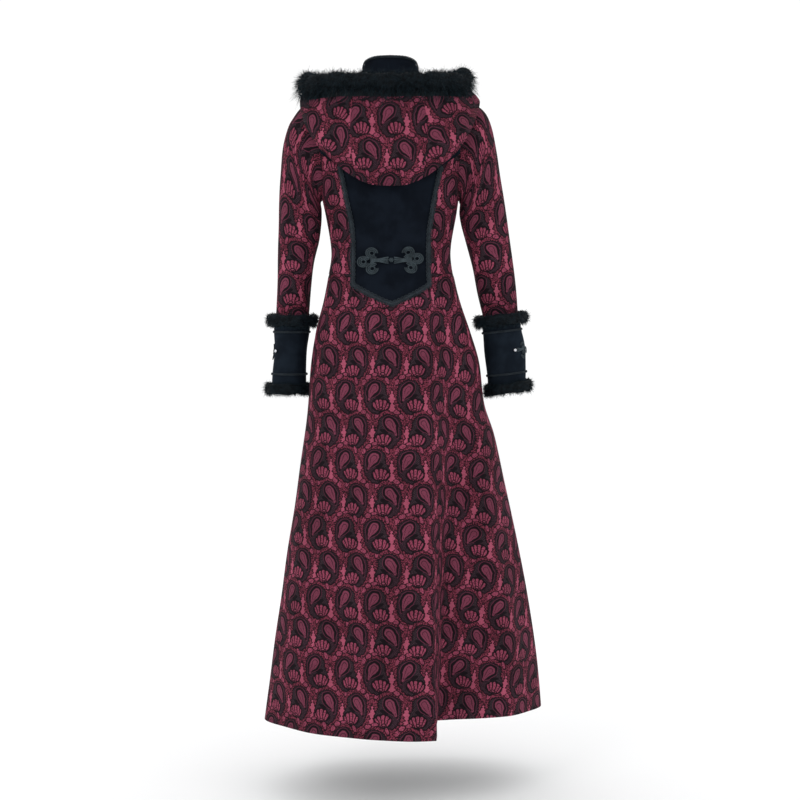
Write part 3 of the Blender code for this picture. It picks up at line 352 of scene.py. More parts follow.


# Cloth shells, with creases placed one by one in the picture's plane

stitching = {"sink": 0.0011, "reach": 0.0042}  # how a seamed edge dips
creaseLook = {"wander": 0.10, "waves": 5.0, "shift": 90.0, "fadeIn": 0.28, "early": 0.25, "turnOff": 1.6}


def creaseDepth(points, normals, creases):
    total = np.zeros(points.shape[:2])
    x, z = points[..., 0], points[..., 2]
    for way, rows in creases.items():
        facing = smooth(normals[..., 1] * (1 if way == "back" else -1) * creaseLook["turnOff"])
        for ax, az, bx, bz, halfWidth, depth in inMetres(rows):
            length = math.hypot(bx - ax, bz - az)
            along = ((x - ax) * (bx - ax) + (z - az) * (bz - az)) / length**2
            off = ((x - ax) * (bz - az) - (z - az) * (bx - ax)) / length
            wander = np.sin(along * creaseLook["waves"] + ax * creaseLook["shift"])
            off = off + creaseLook["wander"] * halfWidth * wander
            fade = 1.0
            for run in (along, 1.0 - along):
                fade = fade * smooth(run / creaseLook["fadeIn"] + creaseLook["early"])
            total += depth * np.exp(-((off / halfWidth) ** 2)) * fade * facing
    return total


def gridNormals(points, guide, wrap):
    across = np.roll(points, -1, axis=1) - np.roll(points, 1, axis=1) if wrap else np.gradient(points, axis=1)
    normal = unit(np.cross(np.gradient(points, axis=0), across))
    return np.where((normal * guide).sum(-1, keepdims=True) < 0, -normal, normal)


def softDrape(points, scale, depth, seed, waves=7):
    rng = np.random.default_rng(seed)
    total = np.zeros(points.shape[:2])
    for wave in range(waves):
        way = rng.normal(size=3) * np.array([1.0, 1.0, 0.45])
        total += np.sin(points @ way * (2 * math.pi / scale) + rng.uniform(0, 6.28)) / waves
    return total * depth


def edgeSink(points, edges):
    total = np.zeros(points.shape[:2])
    rims = {"sides": (points[:, :1], points[:, -1:]), "top": (points[:1],), "bottom": (points[-1:],)}
    for rim in (rim for edge in edges for rim in rims[edge]):
        away = np.linalg.norm(points - rim, axis=-1)
        total -= stitching["sink"] * np.exp(-((away / stitching["reach"]) ** 2))
    return total


def closedGrid(rows, columns, endless=False):
    return np.pad(np.arange(rows * columns).reshape(rows, columns), ((0, int(endless)), (0, 1)), mode="wrap")


def gridQuads(grid):
    return np.stack([grid[:-1, :-1], grid[:-1, 1:], grid[1:, 1:], grid[1:, :-1]], -1).reshape(-1, 4)


def rimQuads(grid, lift, wrap):
    rims = [(grid[0, :-1], grid[0, 1:], lift, 0), (grid[-1, :-1], grid[-1, 1:], 0, lift)]
    if not wrap:
        rims += [(grid[:-1, 0], grid[1:, 0], 0, lift), (grid[:-1, -1], grid[1:, -1], lift, 0)]
    return [np.stack([a + near, b + near, b + far, a + far], 1) for a, b, near, far in rims]


def meshPiece(name, places, faces, materials):
    mesh = bpy.data.meshes.new(name)
    mesh.from_pydata(np.asarray(places).tolist(), [], [list(map(int, face)) for face in faces])
    mesh.update()
    made = bpy.data.objects.new(name, mesh)
    for material in materials:
        mesh.materials.append(material)
    bpy.context.scene.collection.objects.link(made)
    mesh.shade_smooth()
    return made


def shell(name, points, normals, uv, materials, wall=body["wall"], wrap=False, creases={}, drape=None,
          edges=(), facing=0):
    moved = creaseDepth(points, normals, creases) + edgeSink(points, edges) + softDrape(points, *drape)
    outer = points + normals * moved[..., None]
    inner = outer - gridNormals(outer, normals, wrap) * wall
    rows, columns = outer.shape[:2]
    count = rows * columns
    grid = closedGrid(rows, columns) if wrap else np.arange(count).reshape(rows, columns)
    uvGrid = np.arange(rows * uv.shape[1]).reshape(rows, -1)
    outerFaces, uvFaces = gridQuads(grid), gridQuads(uvGrid)
    faces = np.concatenate([outerFaces, outerFaces[:, ::-1] + count] + rimQuads(grid, count, wrap))
    uvs = np.concatenate([uvFaces, uvFaces[:, ::-1]] + rimQuads(uvGrid, 0, wrap))
    places = np.concatenate([outer.reshape(-1, 3), inner.reshape(-1, 3)])
    middle = outerFaces[len(outerFaces) // 2]
    way = np.cross(places[middle[2]] - places[middle[0]], places[middle[3]] - places[middle[1]])
    if way @ normals.reshape(-1, 3)[middle[0]] < 0:
        faces = faces[:, ::-1]
        uvs = uvs[:, ::-1]
    made = meshPiece(name, places, faces, materials)
    layer = made.data.uv_layers.new(name="cut")
    layer.data.foreach_set("uv", uv.reshape(-1, 2)[uvs.ravel()].ravel())
    slots = np.zeros(len(faces), dtype=np.int32)
    slots[len(outerFaces):2 * len(outerFaces) - facing * (grid.shape[1] - 1)] = 1
    made.data.polygons.foreach_set("material_index", slots)
    made.data.set_sharp_from_angle(angle=math.radians(60))
    return made


def arcLengths(points, level=False):
    steps = np.linalg.norm(np.diff(points, axis=1)[..., :2 if level else 3], axis=-1)
    return np.concatenate([np.zeros_like(steps[:, :1]), np.cumsum(steps, axis=1)], axis=1)


def flattened(points, start, rounds=500, stride=1.6):
    uv = start.copy()
    rows, columns = points.shape[:2]
    pairs = []
    for down, right in ((0, 1), (1, 0), (1, 1), (1, -1)):
        a = (slice(0, rows - down), slice(max(0, -right), columns - max(0, right)))
        b = (slice(down, rows), slice(max(0, right), columns + min(0, right)))
        pairs.append((a, b, np.linalg.norm(points[b] - points[a], axis=-1)))
    for turn in range(rounds):
        move = np.zeros_like(uv)
        weight = np.zeros(uv.shape[:2])
        for a, b, wanted in pairs:
            gap = uv[b] - uv[a]
            length = np.linalg.norm(gap, axis=-1) + 1e-9
            fix = gap * ((length - wanted) / length / 2)[..., None]
            move[a] += fix
            move[b] -= fix
            weight[a] += 1
            weight[b] += 1
        uv += move / weight[..., None] * stride
    return uv


def fineShares(count):
    shares = np.linspace(0, 1, count + 1)
    step = shares[1]
    return np.unique(np.concatenate([shares, [step * 0.3, step * 0.65, 1 - step * 0.3, 1 - step * 0.65]]))


def fineLevels(start, end, step):
    return start + (end - start) * fineShares(max(2, round(abs(end - start) / step)))


# Each piece hangs from the root and hides the CAD part it stands for


def dress(made, node):
    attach(made, "root")
    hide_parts(node)


def cloth(made, name):
    dress(made, name)


# Materials

lace = {
    "column": 66.0,  # pitch of the motifs across, in millimetres
    "row": 132.6,  # pitch of every second row
    "rowStart": -472.5,
    "plumbX": -0.0375,  # a column of motifs hangs here, down the skirt back
    "motifColumn": 60.4,  # the same pitches in the motif's own drawing
    "motifRow": 136.8,
    "reach": (38.2, -22.2),  # how far the drawing goes to each side
    "wander": 5.0,
    "bottle": (0.348, 0.078, 0.128, 1),
    "crimson": (0.304, 0.058, 0.102, 1),
    "ground": (0.204, 0.035, 0.062, 1),
    "rose": (0.110, 0.024, 0.046, 1),
    "pink": (0.225, 0.052, 0.088, 1),
    "wine": (0.026, 0.010, 0.016, 1),
    "plum": (0.066, 0.030, 0.044, 1),
    "moss": (0.058, 0.034, 0.044, 1),
    "thread": (0.0092, 0.0058, 0.0082, 1),
}

motif = {
    "bottleX": 32.2,
    "bottleFoot": 40.0,
    "bottleHeight": 42.0,
    "bottleWidth": 10.0,
    "bottle": [
        (0.0, 0.0), (0.04, 0.40), (0.13, 0.54), (0.26, 0.46), (0.38, 0.22), (0.50, 0.38), (0.59, 0.60),
        (0.72, 0.30), (0.9, 0.12), (1.0, 0.0),
    ],
    # centre x, y, half width, half height, tilt
    "petals": [
        (-19, 19, 3.6, 7.5, -28), (-10, 28, 4.2, 6.0, -62), (24, 21, 3.0, 7.0, 20), (2, 33, 5.0, 3.0, 8),
    ],
    "band": [
        (-19.5, 0), (-20, -9), (-19, -18), (-15, -30), (-9, -39), (0, -45), (7, -46), (18, -38), (28, -26),
        (27, -12), (23, 0), (22.5, 10), (18, 17), (11, 22), (0, 23.5), (-10, 19.5), (-17, 12),
    ],
    "scallops": 30,
    "fan": (13, -27.5, 17, 14, 0),
    "fanPetals": (13, -27.5, 14.5, 11.5, -4),
    "fanFoot": (13.5, 53),
    "fanRays": 28.0,
    "bud": (13, -35, 4.6, 3.2, 0),
    "budHeart": (13, -35, 2.4, 1.5, 0),
    "curl": (11, -10, 8.0, 3.6, 24),
    "core": [
        (3, 15), (-4, 11.5), (-8, 5), (-9.6, -4), (-10, -12), (-9, -19), (-5, -13), (0, -8), (5, -3),
        (8.5, 2.5), (9.5, 8), (7.5, 13),
    ],
}

current = {"tree": None}  # the node tree that the calls below add to


def feed(socket, value):
    if isinstance(value, bpy.types.NodeSocket):
        current["tree"].links.new(value, socket)
    else:
        socket.default_value = value


def addNode(kind, values, out=0, **settings):
    node = current["tree"].nodes.new("ShaderNode" + kind)
    for name, value in settings.items():
        setattr(node, name, value)
    for name, value in values.items():
        feed(node.inputs[name], value)
    return node.outputs[out]


def doMath(operation, *values):
    return addNode("Math", dict(enumerate(values)), operation=operation)


def plus(a, b):
    return doMath("ADD", a, b)


def minus(a, b):
    return doMath("SUBTRACT", a, b)


def times(a, b):
    return doMath("MULTIPLY", a, b)


def wave(value, rate):
    return doMath("SINE", times(value, rate))


def ramp(value, low, high, lowOut=0.0, highOut=1.0):
    limits = {"Value": value, "From Min": low, "From Max": high, "To Min": lowOut, "To Max": highOut}
    return addNode("MapRange", limits, "Result", interpolation_type="SMOOTHSTEP")


def within(value, low, high, strength=1.0):
    return ramp(value, low, high, strength, 0.0)


def blend(share, a, b):
    return addNode("Mix", {0: share, 6: a, 7: b}, 2, data_type="RGBA")


def noiseOf(vector, scale, detail=2.0, flat=False, out="Fac"):
    values = {"Vector": vector, "Scale": scale, "Detail": detail}
    return addNode("TexNoise", values, out, noise_dimensions="2D" if flat else "3D")


def splitXY(vector):
    return addNode("SeparateXYZ", {0: vector}).node.outputs[:2]


def curveOf(value, points):
    out = addNode("FloatCurve", {"Value": value})
    curve = out.node.mapping.curves[0]
    curve.points[0].location = points[0]
    curve.points[1].location = points[-1]
    for x, y in points[1:-1]:
        curve.points.new(x, y)
    out.node.mapping.update()
    return out


def oval(place, x, y, wide, high, tilt):
    values = {"Location": (x, y, 0), "Rotation": (0, 0, math.radians(tilt)), "Scale": (wide, high, 1)}
    moved = addNode("Mapping", {"Vector": place, **values}, vector_type="TEXTURE")
    return addNode("VectorMath", {0: moved}, "Value", operation="LENGTH")


def outline(turn, points, size=50.0):
    full = 2 * math.pi
    reaches = sorted(((math.atan2(y, x) + math.pi) / full, math.hypot(x, y) / size) for x, y in points)
    first, last = reaches[0], reaches[-1]
    seam = mix(last[1], first[1], (1.0 - last[0]) / (1.0 - last[0] + first[0]))
    return times(curveOf(turn, [(0.0, seam)] + reaches + [(1.0, seam)]), size)


def makeMotif():
    tree = bpy.data.node_groups.new("paisleyMotif", "ShaderNodeTree")
    current["tree"] = tree
    sockets = {"Place": "Vector", "Ground": "Color", "Grain": "Float", "Colour": "Color"}
    for name, kind in sockets.items():
        way = "OUTPUT" if name == "Colour" else "INPUT"
        tree.interface.new_socket(name, in_out=way, socket_type="NodeSocket" + kind)
    place, colour, grain = tree.nodes.new("NodeGroupInput").outputs[:3]
    x, y = splitXY(place)

    def lay(mask, shade):
        nonlocal colour
        colour = blend(mask, colour, shade)

    def spot(size, edge=1.0, soft=0.12):
        return within(size, edge - soft, edge + soft)

    # the bright bottle beside the motif, with a thread round it
    side = doMath("ABSOLUTE", minus(x, motif["bottleX"]))
    up = doMath("DIVIDE", plus(y, motif["bottleFoot"]), motif["bottleHeight"])
    wide = times(curveOf(up, motif["bottle"]), motif["bottleWidth"])
    past = minus(plus(side, times(wave(y, 0.95), 1.1)), wide)
    lay(within(past, 1.5, 2.3), lace["thread"])
    lay(within(past, -0.5, 0.5), blend(grain, lace["crimson"], lace["bottle"]))
    # a chain of petals over the top of the motif
    for petal in motif["petals"]:
        size = oval(place, *petal)
        lay(spot(size, 1.42), lace["thread"])
        lay(spot(size), blend(grain, lace["rose"], lace["crimson"]))
    # the wide band round the core, dark with mottled threads inside its two edges
    reach = oval(place, 0, 0, 1, 1, 0)
    turn = doMath("DIVIDE", plus(doMath("ARCTAN2", y, x), math.pi), 2 * math.pi)
    scallop = times(wave(turn, 2 * math.pi * motif["scallops"]), 0.9)
    depth = minus(plus(outline(turn, motif["band"]), scallop), reach)
    lay(ramp(depth, -0.5, 0.5), lace["thread"])
    beads = ramp(plus(times(wave(x, 2.3), wave(y, 2.1)), times(grain, 0.5)), 0.15, 0.75)
    lay(times(ramp(depth, 2.0, 3.0), beads), blend(ramp(x, -6, 12), lace["plum"], lace["moss"]))
    # the fan under it, with a bud at its foot and a dark curl above
    lay(spot(oval(place, *motif["fan"]), 1.0, 0.06), lace["thread"])
    footX, footY = motif["fanFoot"]
    ray = doMath("COSINE", times(doMath("ARCTAN2", minus(x, footX), plus(y, footY)), motif["fanRays"]))
    petals = plus(oval(place, *motif["fanPetals"]), times(minus(1.0, ray), 0.07))
    mask = times(within(petals, 0.94, 1.04), ramp(ray, -0.80, -0.30))
    lay(mask, blend(grain, lace["rose"], lace["crimson"]))
    lay(spot(oval(place, *motif["bud"])), lace["thread"])
    lay(spot(oval(place, *motif["budHeart"]), 1.0, 0.3), lace["pink"])
    lay(spot(oval(place, *motif["curl"])), lace["thread"])
    # the core, a comma with a hatched field and dark lines
    core = minus(reach, outline(turn, motif["core"]))
    lay(within(core, 5.4, 6.0), lace["rose"])
    lay(within(core, 4.4, 5.0), lace["thread"])
    hatch = ramp(wave(plus(x, times(y, -0.7)), 3.3), -0.5, 0.9)
    lay(within(core, -0.5, 0.5), blend(hatch, lace["rose"], lace["pink"]))
    lay(within(doMath("ABSOLUTE", plus(core, 4.6)), 0.5, 1.2, 0.75), lace["wine"])
    feed(tree.nodes.new("NodeGroupOutput").inputs["Colour"], colour)
    return tree


def newMaterial(name, finish):
    material = bpy.data.materials.new(name)
    setShader(material, finish)
    current["tree"] = material.node_tree
    return material


def dye(material, colour, height, distance):
    shader = material.node_tree.nodes["Principled BSDF"]
    feed(shader.inputs["Base Color"], colour)
    feed(shader.inputs["Normal"], addNode("Bump", {"Strength": 1.0, "Distance": distance, "Height": height}))
    return material


def objectPlace():
    return addNode("TexCoord", {}, "Object")


def makeLace(motifTree):
    material = newMaterial("paisleyLace", {"Roughness": 0.78, "Specular IOR Level": 0.06})
    place = addNode("Mapping", {"Vector": addNode("UVMap", {}, uv_map="cut"), "Scale": (1000, 1000, 1)})
    wander = noiseOf(place, 0.06, 3.0, True, "Color")
    reach = (lace["wander"], lace["wander"], 0.0)
    centred = addNode("VectorMath", {0: wander, 1: reach, 2: place}, operation="MULTIPLY_ADD")
    x, y = splitXY(centred)
    grain = noiseOf(place, 0.42, 1.0, True)
    veins = doMath("ABSOLUTE", minus(noiseOf(centred, 0.17, 1.5, True), 0.5))
    veins = ramp(veins, 0.012, 0.045)
    colour = blend(ramp(grain, 0.37, 0.57), lace["wine"], lace["ground"])
    colour = blend(veins, lace["thread"], colour)
    grain = ramp(grain, 0.30, 0.66)
    halfRow = lace["motifRow"] / 2
    far, near = lace["reach"]
    mirrored = (-1.0, lace["motifColumn"] / 2, halfRow, (-near, -far))
    for flip, shiftX, shiftY, limits in (mirrored, (1.0, 0.0, 0.0, (far, near))):
        across = minus(times(x, lace["motifColumn"] / lace["column"]), shiftX)
        up = minus(times(minus(y, lace["rowStart"]), lace["motifRow"] / lace["row"]), shiftY)
        across = times(doMath("WRAP", across, *limits), flip)
        spot = addNode("CombineXYZ", {0: across, 1: doMath("WRAP", up, halfRow, -halfRow)})
        values = {"Place": spot, "Ground": colour, "Grain": grain}
        colour = addNode("Group", values, "Colour", node_tree=motifTree)
    tone = ramp(noiseOf(place, 0.012, 3.0, True), 0.3, 0.7, 0.84, 1.14)
    uneven = addNode("HueSaturation", {"Color": colour, "Value": tone})
    return dye(material, uneven, minus(noiseOf(place, 1.3, 1.0, True), times(veins, 0.5)), 0.0006)


def makeVelvet(name, base, napSheen):
    material = newMaterial(name, {
        "Roughness": 0.85, "Sheen Weight": 0.10, "Sheen Roughness": 0.30, "Sheen Tint": (0.30, 0.42, 0.62, 1),
        "Specular IOR Level": 0.03,
    })
    place = objectPlace()
    nap = noiseOf(place, 28.0, 4.0)
    pile = noiseOf(place, 1500.0, 2.0)
    # The second, lighter colour shown in the nap patches is painted sheen, where the pile catches the light.
    return dye(material, blend(ramp(nap, 0.40, 0.66), base, napSheen), plus(pile, times(nap, 2.0)), 0.0004)


def makeLining():
    material = newMaterial("satinLining", {"Roughness": 0.5, "Specular IOR Level": 0.16})
    place = objectPlace()
    sagAndShade = noiseOf(place, 22.0, 3.0)
    # Darker where the sags dip: painted shade in the folds. The whole lining is also kept near black as
    # painted shade under the hood's fur.
    colour = blend(sagAndShade, (0.005, 0.005, 0.007, 1), (0.013, 0.012, 0.016, 1))
    return dye(material, colour, plus(sagAndShade, times(noiseOf(place, 900.0, 1.0), 0.15)), 0.0016)


def makeFur():
    material = newMaterial("fauxFur", {"Roughness": 0.62, "Specular IOR Level": 0.10})
    tuft = noiseOf(objectPlace(), 120.0, 3.0)
    tip = addNode("Attribute", {}, "Fac", attribute_name="tip")
    dark = blend(ramp(tuft, 0.35, 0.7), (0.0020, 0.0035, 0.0052, 1), (0.0060, 0.0105, 0.0145, 1))
    # The lighter teal towards the strand tips is painted backlight from the bright surroundings.
    return dye(material, blend(ramp(tip, 0.45, 1.0, 0.0, 0.85), dark, (0.017, 0.036, 0.047, 1)), tuft, 0.0008)


def makeThread(name, dark, ridgeHighlight, roughness):
    material = newMaterial(name, {"Roughness": roughness, "Specular IOR Level": 0.2})
    place = objectPlace()
    values = {"Vector": place, "Scale": 420.0, "Distortion": 3.0, "Detail": 2.0}
    twist = addNode("TexWave", values, "Fac", wave_type="BANDS", bands_direction="DIAGONAL")
    highlightPatches = ramp(noiseOf(place, 90.0, 3.0), 0.3, 0.65, 0.4, 1.0)
    # The lighter colour on the twist ridges, in patches, is painted highlight; the grooves keep the dark
    # colour as painted shade.
    return dye(material, blend(times(twist, highlightPatches), dark, ridgeHighlight), twist, 0.00022)


def makeMetal():
    material = newMaterial("agedSteel", {"Roughness": 0.28, "Metallic": 1.0})
    tarnish = noiseOf(objectPlace(), 600.0, 3.0)
    colour = blend(ramp(tarnish, 0.4, 0.7), (0.70, 0.71, 0.74, 1), (0.38, 0.39, 0.42, 1))
    return dye(material, colour, tarnish, 0.00008)


laceCloth = makeLace(makeMotif())
# Each velvet's second colour is painted sheen on the nap patches.
velvet = makeVelvet("velvetPile", (0.0038, 0.0055, 0.0090, 1), (0.0062, 0.0090, 0.0145, 1))
# The cuffs get a lighter copy of the velvet: painted light, as they catch more light than the back panel.
litCuffVelvet = makeVelvet("litCuffVelvet", (0.0062, 0.0092, 0.0142, 1), (0.0100, 0.0150, 0.0225, 1))
buttonCloth = makeVelvet("buttonCloth", (0.010, 0.010, 0.013, 1), (0.028, 0.028, 0.034, 1))
lining = makeLining()
fur = makeFur()
# Each thread's second colour is its painted highlight.
gimpThread = makeThread("gimpThread", (0.006, 0.009, 0.013, 1), (0.042, 0.056, 0.068, 1), 0.7)
slateCord = makeThread("slateCord", (0.010, 0.015, 0.019, 1), (0.072, 0.100, 0.116, 1), 0.6)
agedSteel = makeMetal()
print("materials are made")


# Bodice: velvet back halves, side backs and fronts

bodice = {
    "rowStep": 0.006,
    "yokeStep": 0.004,
    "backColumns": 26,
    "sideColumns": 14,
    "frontColumns": 40,
    # in millimetres: from x, z to x, z, half width, depth
    "backCreases": {"back": [
        (85, -372, 30, -345, 10, -1.8), (-88, -372, -34, -350, 10, -1.8), (130, -255, 88, -300, 11, -2.0),
        (128, -300, 90, -325, 9, 1.4), (-132, -262, -92, -296, 11, -2.2), (-126, -330, -80, -342, 9, 1.5),
        (55, -255, 20, -305, 15, -1.2), (-60, -240, -22, -300, 16, -1.2),
    ]},
    "frontCreases": {"front": [
        (120, -235, 60, -200, 12, -2.4), (-122, -238, -62, -196, 13, -2.4), (110, -300, 50, -335, 11, -1.8),
        (-112, -305, -48, -340, 11, -1.8), (100, -110, 60, -160, 14, 1.6), (-98, -115, -58, -165, 14, 1.6),
    ]},
}


def bodiceLevels():
    turns = np.linspace(-math.pi / 2, math.pi / 2, 31)
    ring = armhole["level"] + armhole["halfHeight"] * np.sin(turns)
    below = fineLevels(body["waist"], ring[0], bodice["rowStep"])
    above = fineLevels(ring[-1], 0.0, bodice["yokeStep"])
    return np.unique(np.round(np.concatenate([below, ring, [panel["princessTop"]], above]), 5))


def bodyGrid(levels, firstAngle, lastAngle, columns, side):
    rows = levels[:, None]
    angle = mirrorAngle(mix(firstAngle(rows), lastAngle(rows), fineShares(columns)[None]), side)
    return angle, np.broadcast_to(rows, angle.shape)


def centreBack(level):
    return np.full_like(level, math.pi / 2)


def cutUv(points, angle, anchorX=0.0):
    across = arcLengths(points, True) * (1 if angle[0, -1] > angle[0, 0] else -1)
    return np.stack([across - across[:, :1] + anchorX, points[..., 2]], axis=-1)


def seamOffset(level, side, edge):
    steps = np.linspace(0, 1, 20)[:, None]
    angle = mirrorAngle(mix(math.pi / 2, edge(level[None]), steps), side)
    points = coatPoint(angle, np.broadcast_to(level[None], angle.shape))
    return arcLengths(points.swapaxes(0, 1))[:, -1] * -side


for name, side in sides.items():
    angle, level = bodyGrid(bodiceLevels(), centreBack, panelEdgeAngle, bodice["backColumns"], side)
    shares = fineShares(bodice["backColumns"])
    foot = mix(panel["tip"], panel["corner"], shares)
    vLevel = mix(body["waist"], foot[None], np.linspace(1.0, 0.0, 11)[:-1, None])
    vEdge = panelEdgeAngle(np.maximum(vLevel, panel["corner"]))
    angle = np.concatenate([mirrorAngle(mix(math.pi / 2, vEdge, shares[None]), side), angle])
    level = np.concatenate([vLevel, level])
    points = coatPoint(angle, level)
    piece = shell("velvetBack" + name.title(), points, coatNormal(angle, level), cutUv(points, angle),
                  [velvet, lining], creases=bodice["backCreases"], drape=(0.11, 0.0011, 5), edges=("sides",))
    cloth(piece, "back_velvet_" + name)

for name, side in sides.items():
    levels = fineLevels(body["waist"], panel["princessTop"] - 0.003, bodice["rowStep"])
    angle, level = bodyGrid(levels, panelEdgeAngle, sideAngle, bodice["sideColumns"], side)
    points = coatPoint(angle, level)
    uv = cutUv(points, angle) + np.stack([seamOffset(levels, side, panelEdgeAngle), levels * 0], -1)[:, None]
    piece = shell("sideBack" + name.title(), points, coatNormal(angle, level), uv, [laceCloth, lining],
                  creases=bodice["backCreases"], drape=(0.09, 0.0012, 8), edges=("sides", "bottom"))
    cloth(piece, "side_back_" + name)
print("back of the bodice is made")

front = {
    "lap": 0.016,
    "lapClear": 0.0014,
    "lapFrom": 0.052,
    "lapReach": 0.030,
    "crowding": 1.15,
    "motifX": 0.02,
}


def frontEdgeAngle(level, past):
    return -angleAtX(-past, level)


def frontGrid(levels, columns, side, toHem=False):
    rows = np.asarray(levels)[:, None]
    shares = (1.0 - (1.0 - fineShares(columns)) ** front["crowding"])[None]
    start = np.where(rows > body["waist"], sideAngle(rows, True), 0.0)
    angle = mirrorAngle(mix(start, frontEdgeAngle(rows, front["lap"]), shares), side)
    level = np.broadcast_to(rows, angle.shape)
    if toHem:
        level = mix(body["waist"], hemLevel(angle), (level - body["waist"]) / (body["hem"] - body["waist"]))
    normal = coatNormal(angle, level)
    points = coatPoint(angle, level)
    if side > 0:
        stand = smooth((front["lapFrom"] - points[..., 0]) / front["lapReach"])
        points = points - normal * ((body["wall"] + front["lapClear"]) * stand)[..., None]
    return points, normal, cutUv(points, angle, front["motifX"] * side)


for name, side in sides.items():
    points, normal, uv = frontGrid(bodiceLevels(), bodice["frontColumns"], side)
    piece = shell("bodiceFront" + name.title(), points, normal, uv, [laceCloth, lining],
                  creases=bodice["frontCreases"], drape=(0.10, 0.0014, 11), edges=("sides",))
    cloth(piece, "front_" + name)
print("fronts of the bodice are made")


# Skirt: one back with its deep fold, two fronts

skirt = {
    "rows": 118,
    "frontColumns": 62,
    "firstShares": [0, 0.0018, 0.004, 0.007],
    "lastFirst": 0.0105,
    "droop": 0.26,  # how far the rows sink past the deep fold
    "droopReach": 0.16,
    "droopFrom": 0.30,
    "cornerStep": 0.006,
    "cornerBlend": 0.06,
    "cornerSpread": 0.03,
    # columns from each station to the next, and where each station starts
    "counts": (34, 2, 22, 24, 2, 16, 40),
    "tops": ("waist", "waist", "corner", "tip", "corner", "waist", "waist", "waist"),
    # soft ridges and troughs of the worn cloth, in millimetres: from x, z to x, z, half width, depth
    "creases": {
        "back": [
            (105, -400, 150, -700, 20, 5.1), (60, -430, 98, -900, 22, -5.8), (145, -700, 205, -1250, 26, 7.2),
            (20, -470, 30, -1050, 26, 5.1), (85, -900, 120, -1268, 28, -8.0),
            (-30, -480, -35, -1000, 20, -5.1), (-50, -950, -55, -1268, 18, 5.8),
            (-115, -400, -140, -720, 16, 5.5), (-140, -640, -185, -1260, 22, -7.2),
            (-190, -850, -250, -1260, 24, 8.0), (0, -1000, 45, -1268, 22, 6.5),
        ],
        "front": [
            (100, -400, 140, -950, 22, 6.5), (45, -420, 60, -1200, 24, -8.0),
            (-60, -420, -75, -1150, 24, -8.0), (-115, -400, -165, -1000, 22, 6.5),
            (170, -700, 225, -1260, 26, -8.0), (-180, -750, -245, -1260, 26, -7.2),
        ],
    },
}


def skirtStations(level):
    leftCorner = panelEdgeAngle(np.maximum(level, panel["corner"]))
    deep = smooth((panel["tip"] - level) / skirt["cornerBlend"])
    ridge = mix(math.pi - leftCorner, angleAtX(ridgeX(level), level), deep)
    trough = mix(ridge + fold["flankTopTurn"], angleAtX(ridgeX(level) - flankWidth(level), level), deep)
    beside = mix(skirt["cornerStep"], (trough - ridge) / 4, deep)
    beforeCorner = leftCorner - mix(skirt["cornerStep"], skirt["cornerSpread"], deep)
    zero = np.zeros_like(ridge)
    return np.stack([
        zero, beforeCorner, leftCorner, zero + math.pi / 2, ridge, ridge + beside, trough, zero + math.pi,
    ])


def skirtColumns():
    places = [0.0]
    for station, count in enumerate(skirt["counts"]):
        places.extend(station + np.arange(1, count + 1) / count)
    places[1:1] = [places[1] * 0.3, places[1] * 0.65]
    places[-1:-1] = [mix(places[-1], places[-2], 0.65), mix(places[-1], places[-2], 0.3)]
    return np.array(sorted(places))


def skirtAngle(columns, level):
    stations = skirtStations(level)
    i = np.clip(np.ceil(columns).astype(int) - 1, 0, len(skirt["counts"]) - 1)
    low = np.take_along_axis(stations, i[None], axis=0)[0]
    high = np.take_along_axis(stations, i[None] + 1, axis=0)[0]
    return mix(low, high, columns - i)


columns = skirtColumns()
tops = [panel[name] if name in panel else body[name] for name in skirt["tops"]]
shares = np.concatenate([skirt["firstShares"], np.linspace(skirt["lastFirst"], 1, skirt["rows"])])
hemRow = hemLevel(skirtAngle(columns, np.full_like(columns, body["hem"])))
level = mix(np.interp(columns, np.arange(len(tops)), tops)[None], hemRow[None], shares[:, None])
angle = skirtAngle(np.broadcast_to(columns[None], level.shape), level)
points = coatPoint(angle, level)
arc = arcLengths(points, True)
backPart = slice(30, 120)
plumb = [np.interp(-lace["plumbX"], -row[backPart, 0], run[backPart]) for row, run in zip(points, arc)]
past = clamp(ridgeX(level) - points[..., 0], 0.0, skirt["droopReach"])
sunk = skirt["droop"] * past * smooth((body["waist"] - level) / skirt["droopFrom"])
uv = np.stack([arc - np.array(plumb)[:, None], points[..., 2] + sunk], axis=-1)
piece = shell("skirtBack", points, coatNormal(angle, level), uv, [laceCloth, lining],
              creases=skirt["creases"], drape=(0.16, 0.0022, 21), edges=("sides", "top"))
cloth(piece, "skirt_back")

for name, side in sides.items():
    points, normal, uv = frontGrid(mix(body["waist"], body["hem"], shares), skirt["frontColumns"], side, True)
    piece = shell("skirtFront" + name.title(), points, normal, uv, [laceCloth, lining],
                  creases=skirt["creases"], drape=(0.15, 0.0022, 27), edges=("sides", "top"))
    cloth(piece, "skirt_front_" + name)
print("skirt is made")


# Sleeves and cuffs

